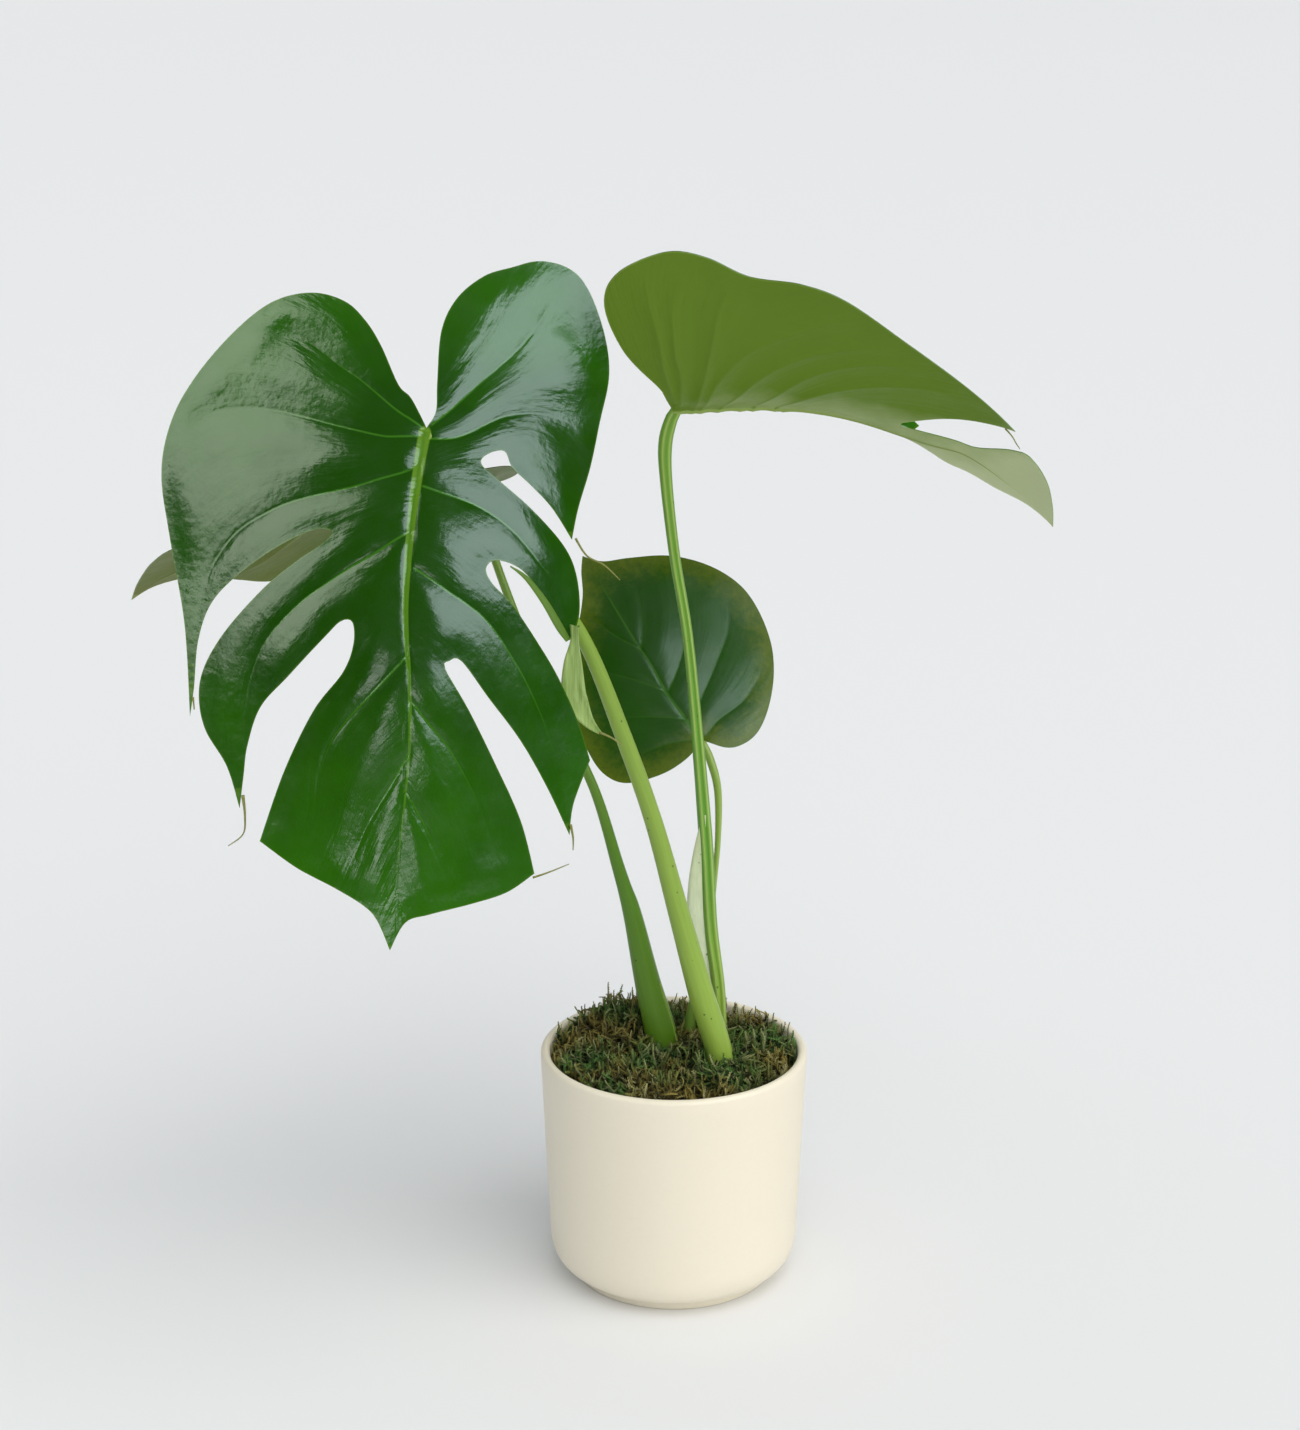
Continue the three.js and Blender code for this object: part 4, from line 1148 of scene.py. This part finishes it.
def stalk(name, route, section, ridges, materials, corners=28, wing=None):
    """A finished stalk, with its painted highlight stripes stored as a number and an optional thin wing
    joined to it.
    """
    vertices, faces, shares, turns = rod_mesh(route, 3, corners, section)
    # Each stripe is a painted highlight: a pale band at one place round the ring.
    pale = np.zeros(len(turns))
    for place, width, strength in ridges:
        pale = pale + hump(turns, place, width) * strength
    slots = [0] * len(faces)
    if wing:
        wing_vertices, wing_faces = turned_strip(wing, 3)
        heights = wing_vertices[:, 2]
        faces = faces + [tuple(i + len(vertices) for i in face) for face in wing_faces]
        slots += [1] * len(wing_faces)
        vertices = np.vstack([vertices, wing_vertices])
        shares = np.append(shares, (heights - heights.min()) / np.ptp(heights))
        turns = np.append(turns, wing_vertices[:, 0] / 40)
        pale = np.append(pale, np.zeros(len(wing_vertices)))
    numbers = {"share": shares, "turn": turns, "pale": np.clip(pale, 0, 1)}
    return make_object(name, vertices, faces, numbers, materials, slots)


front_stalk = stalk("petiole_front_skin", stalk_routes["front"], plain_ring, [], [yellow_green])
fit(front_stalk, "petiole_front")
right_wing = [[20, 12, 112, 1.5, 0], [18, 12, 130, 3.4, 0], [14, 12, 152, 5, 0], [12, 12, 175, 5.6, 0],
              [12, 12, 196, 5, 0], [13.5, 12, 216, 3.4, 0], [14.8, 12, 231, 1, 0]]
# Its two ridges are painted pale as highlights.
right_stalk = stalk("petiole_right_skin", stalk_routes["right"], grooved_ring,
                    [(-0.06, 0.03, 0.9), (0.11, 0.03, 0.9)], [ridged_green, sheath_skin], 36, right_wing)
fit(right_stalk, "petiole_right")
back_wing = [[4, 1, 92, 1.7, 0], [1.5, 1.5, 112, 1.7, 0], [-2.5, 2, 130, 1.2, 0], [-7, 3, 148, 0.4, 0]]
# The pale stripe down its right side is a painted highlight.
back_stalk = stalk("petiole_back_skin", stalk_routes["back"], clasping_ring, [(0.27, 0.035, 0.5)],
                   [mid_green, yellow_green], 36, back_wing)
fit(back_stalk, "petiole_back")
# The pale stripes down one side of this stalk and of the bud are painted highlights.
small_stalk = stalk("petiole_small_skin", stalk_routes["small"], plain_ring, [(0.1, 0.05, 0.5)],
                    [yellow_green], 20)
fit(small_stalk, "petiole_small")
bud = stalk("bud_sheath_skin", stalk_routes["bud"], plain_ring, [(0.8, 0.06, 0.7)], [mid_green], 24)
fit(bud, "bud_sheath")

# %% [markdown]
# ## The pot
#
# The pot is thrown or slip-cast stoneware: a straight, slightly flared wall that rounds in to a low foot,
# and a soft lip. A spin or screw modifier on a drawn profile could make it. Here a function turns the
# profile about the axis, because the profile is then a short list of sizes, with far finer steps than the
# CAD solid needs.

# %% Pot profile

pot_height, rim_radius, hip_radius, hip_height = 116, 65, 61, 19
foot_radius, foot_height, wall, pot_floor = 50, 5, 4.5, 7
inner_rim_radius = rim_radius - wall


def curve_between(start, control, end, count):
    """Points on a quadratic curve."""
    t = np.linspace(0, 1, count)[:, None]
    start, control, end = (np.asarray(p, float) for p in (start, control, end))
    return (1 - t) ** 2 * start + 2 * t * (1 - t) * control + t ** 2 * end


hip = curve_between((foot_radius + 1.2, foot_height), (hip_radius - 1, foot_height + 1.5),
                    (hip_radius, hip_height), 16)
outer_wall = np.linspace((hip_radius, hip_height), (rim_radius, pot_height - wall / 2), 14)[1:-1]
lip_angles = np.linspace(0, np.pi, 14)
lip = np.column_stack([rim_radius - wall / 2 + wall / 2 * np.cos(lip_angles),
                       pot_height - wall / 2 + wall / 2 * np.sin(lip_angles)])
inner_wall = np.linspace((inner_rim_radius, pot_height - wall / 2),
                         (hip_radius - wall, hip_height + 6), 8)[1:]
inner_bend = curve_between(inner_wall[-1], (hip_radius - wall, pot_floor),
                           (foot_radius - 4, pot_floor), 8)[1:]
foot = np.array([(0, 0.6), (foot_radius - 4, 0.6), (foot_radius - 3.2, 0), (foot_radius - 0.8, 0),
                 (foot_radius - 0.2, 0.4), (foot_radius, 1.2), (foot_radius, foot_height - 0.6),
                 (foot_radius + 0.3, foot_height - 0.15)])
profile = np.vstack([foot, hip, outer_wall, lip, inner_wall, inner_bend, [(0, pot_floor)]])
print("pot profile:", len(profile), "points, widest and highest", profile.max(0), "mm")

# %% Turned mesh


def turned_mesh(profile, sides):
    """A profile of (radius, height) turned about the axis; its ends lie on the axis."""
    angle = 2 * np.pi * np.arange(sides) / sides
    rings = profile[1:-1]
    vertices = [(r * np.cos(a), r * np.sin(a), z) for r, z in rings for a in angle]
    vertices += [(0, 0, profile[0][1]), (0, 0, profile[-1][1])]
    faces = []
    for i in range(len(rings) - 1):
        for j in range(sides):
            k = (j + 1) % sides
            faces.append((i * sides + j, i * sides + k, (i + 1) * sides + k, (i + 1) * sides + j))
    last = (len(rings) - 1) * sides
    for j in range(sides):
        k = (j + 1) % sides
        faces.append((len(vertices) - 2, k, j))
        faces.append((len(vertices) - 1, last + j, last + k))
    return np.array(vertices), faces


pot_vertices, pot_faces = turned_mesh(profile, 160)
print("turned pot:", len(pot_faces), "faces")

# %% [markdown]
# ### The glaze
#
# A cream satin glaze is glass with fine crystals in it, fired on at stoneware heat. It gives the eye a
# broad, quiet shine. The colour drifts a little where the glaze pooled, over about 60 mm. Fine grit in the
# clay shows through as the faintest speckle, drawn 2 to 3 mm across so that it shows at all.

# %% Cream satin glaze

glaze, glaze_tree, glaze_shader = start_material(
    "cream_satin_glaze", Roughness=0.42, IOR=1.5, Specular_IOR_Level=0.35)
glaze_place = add_node(glaze_tree, "ShaderNodeTexCoord").outputs["Object"]
pooling = add_node(glaze_tree, "ShaderNodeTexNoise", {
    "Vector": glaze_place, "Scale": per_mm(60), "Detail": 3.0, "Roughness": 0.5})
cream = add_node(glaze_tree, "ShaderNodeMix", {
    "Factor": pooling.outputs["Fac"], "A": linear("#f0e7d2"), "B": linear("#f2ead7")}, data_type="RGBA")
grit = add_node(glaze_tree, "ShaderNodeTexNoise", {
    "Vector": glaze_place, "Scale": per_mm(2.5), "Detail": 3.0, "Roughness": 0.6})
grit_shade = add_node(glaze_tree, "ShaderNodeMapRange", {
    "Value": grit.outputs["Fac"], "To Min": 0.975, "To Max": 1.01})
speckled = add_node(glaze_tree, "ShaderNodeMix", {
    "Factor": 1.0, "A": cream.outputs["Result"], "B": grit_shade.outputs["Result"]},
    data_type="RGBA", blend_type="MULTIPLY")
glaze_tree.links.new(speckled.outputs["Result"], glaze_shader.inputs["Base Color"])
glaze_gloss = add_node(glaze_tree, "ShaderNodeMapRange", {
    "Value": pooling.outputs["Fac"], "To Min": 0.37, "To Max": 0.47})
glaze_tree.links.new(glaze_gloss.outputs["Result"], glaze_shader.inputs["Roughness"])
glaze_bump = add_node(glaze_tree, "ShaderNodeBump", {
    "Height": grit.outputs["Fac"], "Strength": 0.08, "Distance": 0.3 * MM})
glaze_tree.links.new(glaze_bump.outputs["Normal"], glaze_shader.inputs["Normal"])

pot = make_object("pot_glazed", pot_vertices, pot_faces, None, [glaze])
fit(pot, "pot")

# %% [markdown]
# ## Soil and crown
#
# Under the moss the pot is filled with dark potting mix, and the stalks leave one short woody crown. Both
# are hidden from most sides. The CAD solids have the right shape, so they stay, with materials of their
# own.

# %% Soil and crown

soil_mix, soil_tree, soil_shader = start_material("potting_mix", Roughness=0.95, IOR=1.35)
crumbs = add_node(soil_tree, "ShaderNodeTexNoise", {"Scale": per_mm(3), "Detail": 5.0, "Roughness": 0.7})
soil_colour = add_node(soil_tree, "ShaderNodeMix", {
    "Factor": crumbs.outputs["Fac"], "A": linear("#1d150d"), "B": linear("#4a3a27")}, data_type="RGBA")
soil_tree.links.new(soil_colour.outputs["Result"], soil_shader.inputs["Base Color"])
soil_bump = add_node(soil_tree, "ShaderNodeBump", {
    "Height": crumbs.outputs["Fac"], "Strength": 0.8, "Distance": 1.5 * MM})
soil_tree.links.new(soil_bump.outputs["Normal"], soil_shader.inputs["Normal"])

bark, bark_tree, bark_shader = start_material("green_woody_crown", Roughness=0.7, IOR=1.4)
bark_rings = add_node(bark_tree, "ShaderNodeTexNoise", {
    "Scale": per_mm(5), "Detail": 4.0, "Roughness": 0.65})
bark_colour = add_node(bark_tree, "ShaderNodeMix", {
    "Factor": bark_rings.outputs["Fac"], "A": linear("#4b4a22"), "B": linear("#7c8a3c")}, data_type="RGBA")
bark_tree.links.new(bark_colour.outputs["Result"], bark_shader.inputs["Base Color"])

for node_name, material in (("soil", soil_mix), ("stem_crown", bark)):
    carried = bpy.data.objects[node_name]
    carried.data.materials.clear()
    carried.data.materials.append(material)
    print(node_name, "keeps its CAD shape, in", material.name)

# %% [markdown]
# ## The moss
#
# Dried moss covers the soil: a dense mat of feathery, curled strands 5 to 12 mm long, olive-brown below
# and darker green in patches, with a few strands standing up behind the stalks. The mat follows the lumps
# and the mound of the CAD solid, and a lumpy bed just under its surface closes the gaps between the
# strands; its dark colour is painted shade.

# %% Moss height and bed

moss_edge_drop, moss_rise, mound_rise, lump_rise = 4, 4, 9, 1.2


def moss_height(x, y):
    """Height of the moss over a point of the pot's plan: the same lumps and mound as the CAD solid."""
    share = np.hypot(x, y) / inner_rim_radius
    from_mound = np.hypot(x + 25, y - 30) / 18
    lumps = np.sin(x / 4.1) * np.cos(y / 3.7) + 0.6 * np.sin((x - y) / 6.3)
    crown = moss_rise * (1 - share ** 2)
    return pot_height - moss_edge_drop + crown + mound_rise * np.exp(-from_mound ** 2) + lump_rise * lumps


def moss_bed(sunk):
    """A lumpy disc just under the moss's surface."""
    rings, spokes = 26, 96
    radius = np.linspace(0, inner_rim_radius - 0.4, rings + 1)[1:]
    angle = 2 * np.pi * np.arange(spokes) / spokes
    x = np.append((radius[:, None] * np.cos(angle)).ravel(), 0)
    y = np.append((radius[:, None] * np.sin(angle)).ravel(), 0)
    z = moss_height(x, y) - sunk
    faces = []
    for i in range(rings - 1):
        for j in range(spokes):
            k = (j + 1) % spokes
            faces.append((i * spokes + j, (i + 1) * spokes + j, (i + 1) * spokes + k, i * spokes + k))
    faces += [(rings * spokes, j, (j + 1) % spokes) for j in range(spokes)]
    return np.column_stack([x, y, z]), faces


bed_vertices, bed_faces = moss_bed(3.2)
print("moss bed:", len(bed_faces), "faces, up to", round(bed_vertices[:, 2].max(), 1), "mm high")

# %% [markdown]
# ### Strands
#
# Hair particles could draw the strands, but they don't survive in an exported model, so every strand is a
# small mesh: a thin bent rod with two rows of tiny leaves. A seeded random choice gives each one its
# place, lean, curl and tint. All strands are worked out together, as arrays, which is much quicker than
# one by one.

# %% Moss strands


def strand_curves(rng, count, joints):
    """The middle line of every strand, and how high each one stands in its tuft."""
    radius = (inner_rim_radius - 1.8) * np.sqrt(rng.random(count))
    angle = 2 * np.pi * rng.random(count)
    x, y = radius * np.cos(angle), radius * np.sin(angle)
    # Strands grow in tufts about 15 mm across: those between two tufts lie lower and in their shade.
    tuft = np.sin(x / 3.1 + 1) * np.cos(y / 2.6) + 0.7 * np.sin((x + y) / 4.3) + rng.normal(0, 0.25, count)
    length = rng.uniform(5, 12, count)
    heading = 2 * np.pi * rng.random(count)
    on_mound = np.exp(-(np.hypot(x + 20, y - 38) / 17) ** 2)
    upright = rng.random(count) < 0.12 + 0.5 * on_mound
    lean = np.radians(np.where(upright, rng.uniform(45, 85, count), rng.uniform(0, 50, count)))
    sideways = rng.normal(0, 2.0, count)
    curl = rng.normal(0.6, 1.5, count) * np.where(upright, 0.6, 1)
    start = moss_height(x, y) - rng.uniform(0, 3, count) + np.clip(1.6 * tuft, -3.4, 1.6)
    centres = [np.column_stack([x, y, start])]
    step = length / (joints - 1)
    for i in range(1, joints):
        share = i / (joints - 1)
        elevation = lean - curl * share
        azimuth = heading + sideways * share ** 1.5
        direction = np.column_stack([
            np.cos(elevation) * np.cos(azimuth), np.cos(elevation) * np.sin(azimuth), np.sin(elevation)])
        centres.append(centres[-1] + direction * step[:, None])
    centres = np.stack(centres, axis=1)
    # All but a few strays are kept inside the pot's wall.
    reach = np.hypot(centres[..., 0], centres[..., 1])
    pull = np.minimum(1, (inner_rim_radius - 1.2) / np.maximum(reach, 1e-6))
    stray = rng.random(count) < 0.015
    pull = np.where(stray[:, None], 1, pull)
    centres[..., 0] *= pull
    centres[..., 1] *= pull
    return centres, tuft


def strand_bodies(rng, centres):
    """A three-sided rod and two rows of leaves on each middle line, and the faces of one strand."""
    count, joints, _ = centres.shape
    tangents = np.gradient(centres, axis=1)
    tangents /= np.maximum(np.linalg.norm(tangents, axis=2), 1e-6)[..., None]
    helper = np.where(np.abs(tangents[..., 2:]) > 0.9, (1.0, 0.0, 0.0), (0.0, 0.0, 1.0))
    side = np.cross(tangents, helper)
    side /= np.linalg.norm(side, axis=2)[..., None]
    up = np.cross(side, tangents)
    roll = rng.uniform(-0.9, 0.9, count)[:, None, None]
    side, up = side * np.cos(roll) + up * np.sin(roll), up * np.cos(roll) - side * np.sin(roll)

    share = np.linspace(0, 1, joints)
    girth = rng.uniform(0.75, 1.35, count)[:, None, None]
    thick = girth * (0.52 - 0.2 * share)[None, :, None]
    corners = []
    for turn in (0, 1 / 3, 2 / 3):
        a = 2 * np.pi * turn
        corners.append(centres + thick * (np.cos(a) * side + np.sin(a) * up))
    rod = np.stack(corners, axis=2).reshape(count, joints * 3, 3)
    leaf_size = girth * (1.3 * (1 - 0.4 * share))[None, 1:, None]
    leaves = []
    for hand in (-1, 1):
        root = centres[:, 1:]
        tip = root + leaf_size * (hand * side[:, 1:] + 0.55 * tangents[:, 1:] + 0.3 * up[:, 1:])
        low = root - 0.35 * leaf_size * tangents[:, 1:]
        high = root + 0.3 * leaf_size * tangents[:, 1:]
        leaves.append(np.stack([low, tip, high], axis=2))
    leaves = np.stack(leaves, axis=2).reshape(count, -1, 3)
    vertices = np.concatenate([rod, leaves], axis=1)

    faces = []
    for i in range(joints - 1):
        for j in range(3):
            k = (j + 1) % 3
            faces.append((i * 3 + j, i * 3 + k, (i + 1) * 3 + k, (i + 1) * 3 + j))
    faces += [(i, i + 1, i + 2) for i in range(joints * 3, vertices.shape[1], 3)]
    return vertices, faces


def moss_strands(count, seed, joints=10):
    """Feathery strands: vertices, faces, and each vertex's tint and how well lit its place is."""
    rng = np.random.default_rng(seed)
    centres, tuft = strand_curves(rng, count, joints)
    vertices, strand = strand_bodies(rng, centres)
    per_strand = vertices.shape[1]
    faces = [tuple(i + s * per_strand for i in face) for s in range(count) for face in strand]
    share = np.linspace(0, 1, joints)
    shares = np.append(np.repeat(share, 3), np.repeat(share[1:], 6))
    tint = np.repeat(rng.random(count), per_strand)
    lit = np.repeat(np.clip(0.75 + 0.35 * tuft, 0.15, 1), per_strand)
    return vertices.reshape(-1, 3), faces, tint, np.tile(shares, count) * lit


strand_count = 3600
strand_vertices, strand_faces, strand_tint, strand_share = moss_strands(strand_count, seed=11)
print(strand_count, "strands of moss with", len(strand_faces), "faces")

# %% [markdown]
# ### Dried moss
#
# Dead moss leaves are thin and dry, so they hardly shine. Patches about 22 mm across are olive-brown or
# still green, some strands are bleached, and the foot of every strand is dark, because little light gets
# down there.

# %% Dried moss

moss_stuff, moss_tree, moss_shader = start_material(
    "dried_moss", Roughness=0.75, IOR=1.4, Specular_IOR_Level=0.25)
moss_place = add_node(moss_tree, "ShaderNodeTexCoord").outputs["Object"]
moss_tint = add_node(moss_tree, "ShaderNodeAttribute", attribute_name="tint").outputs["Fac"]
moss_share = add_node(moss_tree, "ShaderNodeAttribute", attribute_name="share").outputs["Fac"]
patches = add_node(moss_tree, "ShaderNodeTexNoise", {
    "Vector": moss_place, "Scale": per_mm(22), "Detail": 2.0, "Roughness": 0.5})
patch = add_node(moss_tree, "ShaderNodeMapRange", {
    "Value": patches.outputs["Fac"], "From Min": 0.42, "From Max": 0.58})
olive_or_green = add_node(moss_tree, "ShaderNodeMix", {
    "Factor": patch.outputs["Result"], "A": linear("#8a7d3e"), "B": linear("#587c3c")}, data_type="RGBA")
pale_strands = add_node(moss_tree, "ShaderNodeMapRange", {
    "Value": moss_tint, "From Min": 0.6, "From Max": 1.0, "To Max": 0.8})
tinted_moss = add_node(moss_tree, "ShaderNodeMix", {
    "Factor": pale_strands.outputs["Result"], "A": olive_or_green.outputs["Result"],
    "B": linear("#a8a878")}, data_type="RGBA")
deep = add_node(moss_tree, "ShaderNodeMapRange", {
    "Value": moss_share, "From Min": 0.0, "From Max": 0.7, "To Min": 0.1, "To Max": 1.0})
moss_colour = add_node(moss_tree, "ShaderNodeMix", {
    "Factor": 1.0, "A": tinted_moss.outputs["Result"], "B": deep.outputs["Result"]},
    data_type="RGBA", blend_type="MULTIPLY")
moss_tree.links.new(moss_colour.outputs["Result"], moss_shader.inputs["Base Color"])

# The bed gets a low share, which the finish turns into the deep dark of painted shade.
moss_vertices, moss_faces, moss_tints, moss_shares = join_meshes([
    (bed_vertices, bed_faces, np.full(len(bed_vertices), 0.2), np.full(len(bed_vertices), 0.08)),
    (strand_vertices, strand_faces, strand_tint, strand_share),
])
moss = make_object("moss_strands", moss_vertices, moss_faces, {"tint": moss_tints, "share": moss_shares},
                   [moss_stuff])
fit(moss, "moss")
print("moss, bed and strands together:", len(moss_faces), "faces")

# %% [markdown]
# ## Floor and camera
#
# The camera stands a little over a metre away, above the pot's rim, and looks slightly down.

# %% Floor

half = 60
floor_corners = [(-half, -half, 0), (half, -half, 0), (half, half, 0), (-half, half, 0)]
floor_mesh = bpy.data.meshes.new("floor")
floor_mesh.from_pydata(floor_corners, [], [(0, 1, 2, 3)])
pale_floor, floor_tree, floor_shader = start_material(
    "matt_paper_floor", Roughness=0.9, Specular_IOR_Level=0.1)
paper = add_node(floor_tree, "ShaderNodeTexNoise", {"Scale": per_mm(400), "Detail": 2.0})
paper_colour = add_node(floor_tree, "ShaderNodeMix", {
    "Factor": paper.outputs["Fac"], "A": linear("#e6e8ea"), "B": linear("#ebebec")}, data_type="RGBA")
floor_tree.links.new(paper_colour.outputs["Result"], floor_shader.inputs["Base Color"])
floor_mesh.materials.append(pale_floor)
floor = bpy.data.objects.new("floor", floor_mesh)
bpy.context.scene.collection.objects.link(floor)
print("floor:", 2 * half, "m square, in", pale_floor.name)

# %% Camera

view_from_mm = (-11.6, -1173.7, 628)
looking_down = 16.31
camera_data = bpy.data.cameras.new("camera")
camera_data.sensor_width = 36
camera_data.lens = 65.45
camera_data.clip_end = 500
camera = bpy.data.objects.new("camera", camera_data)
camera.location = tuple(c * MM for c in view_from_mm)
camera.rotation_euler = (np.radians(90 - looking_down), 0, 0)
bpy.context.scene.collection.objects.link(camera)
bpy.context.scene.camera = camera
print("camera at", tuple(round(c, 3) for c in camera.location), "m, with a", camera_data.lens, "mm lens")

# %% [markdown]
# ## Studio light
#
# A broad sun from the right and a weaker one from above give the soft shade of a studio. They light the
# plant evenly but don't show in the gloss of the leaves. Three softboxes do: a tall, faintly green one at
# the left, a wide bluish one at the right, and a small lamp low in front. The rest of the studio is dark to
# a glossy surface, which keeps the middle of each leaf deep green. One lamp for both jobs would be simpler,
# but then the shade and the reflections couldn't be set apart.

# %% Lights


def aim(light, towards):
    """Points a lamp from the given direction at the middle of the plant."""
    light.rotation_euler = Vector(towards).normalized().to_track_quat("Z", "Y").to_euler()
    bpy.context.scene.collection.objects.link(light)


def broad_sun(name, towards, strength, spread, colour="#ffffff"):
    """A very soft lamp for shade, left out of the reflections."""
    data = bpy.data.lights.new(name, "SUN")
    data.energy = strength
    data.angle = np.radians(spread)
    data.color = linear(colour)[:3]
    light = bpy.data.objects.new(name, data)
    light.visible_glossy = False
    aim(light, towards)


def softbox(name, towards, distance, size, power, colour="#ffffff"):
    """A rectangular lamp that shows in the gloss of the leaves."""
    data = bpy.data.lights.new(name, "AREA")
    data.shape = "RECTANGLE"
    data.size, data.size_y = size
    data.energy = power
    data.color = linear(colour)[:3]
    light = bpy.data.objects.new(name, data)
    light.location = Vector((-0.05, 0, 0.35)) + Vector(towards).normalized() * distance
    light.visible_diffuse = False
    aim(light, towards)


broad_sun("key", towards=(0.5, -0.62, 0.75), strength=2.1, spread=75, colour="#fffcf5")
broad_sun("top", towards=(-0.15, 0.1, 1.0), strength=0.82, spread=100)
softbox("left_window", towards=(-0.708, -0.345, 0.616), distance=2.2, size=(1.06, 1.6), power=31,
        colour="#eefae4")
softbox("right_window", towards=(0.637, -0.515, 0.574), distance=2.2, size=(2.05, 1.05), power=52,
        colour="#dbeaf2")
softbox("front_strip", towards=(-0.14, -0.965, 0.215), distance=2.2, size=(0.6, 0.3), power=3.4)
print("lamps:", sorted(light.name for light in bpy.data.lights))

# %% [markdown]
# ### The studio around it
#
# The world is three plain colours. Seen past the floor's edge it is pale, it fills the shade with a soft
# cool light, and in reflections it is nearly black.

# %% World

world = bpy.data.worlds.new("studio")
bpy.context.scene.world = world
world.use_nodes = True
studio = world.node_tree
light_path = add_node(studio, "ShaderNodeLightPath")
seen = add_node(studio, "ShaderNodeBackground", {"Color": linear("#e9e9e9"), "Strength": 1.0})
ambient = add_node(studio, "ShaderNodeBackground", {"Color": linear("#dde3ea"), "Strength": 0.42})
reflected = add_node(studio, "ShaderNodeBackground", {"Color": linear("#cfd6dc"), "Strength": 0.045})
soft_or_glossy = add_node(studio, "ShaderNodeMixShader", {
    0: light_path.outputs["Is Glossy Ray"], 1: ambient.outputs["Background"],
    2: reflected.outputs["Background"]})
whole_studio = add_node(studio, "ShaderNodeMixShader", {
    0: light_path.outputs["Is Camera Ray"], 1: soft_or_glossy.outputs["Shader"],
    2: seen.outputs["Background"]})
studio.links.new(whole_studio.outputs["Shader"], studio.nodes["World Output"].inputs["Surface"])
bpy.context.scene.view_settings.view_transform = "Standard"
print("world:", world.name, "with", len(studio.nodes), "nodes")
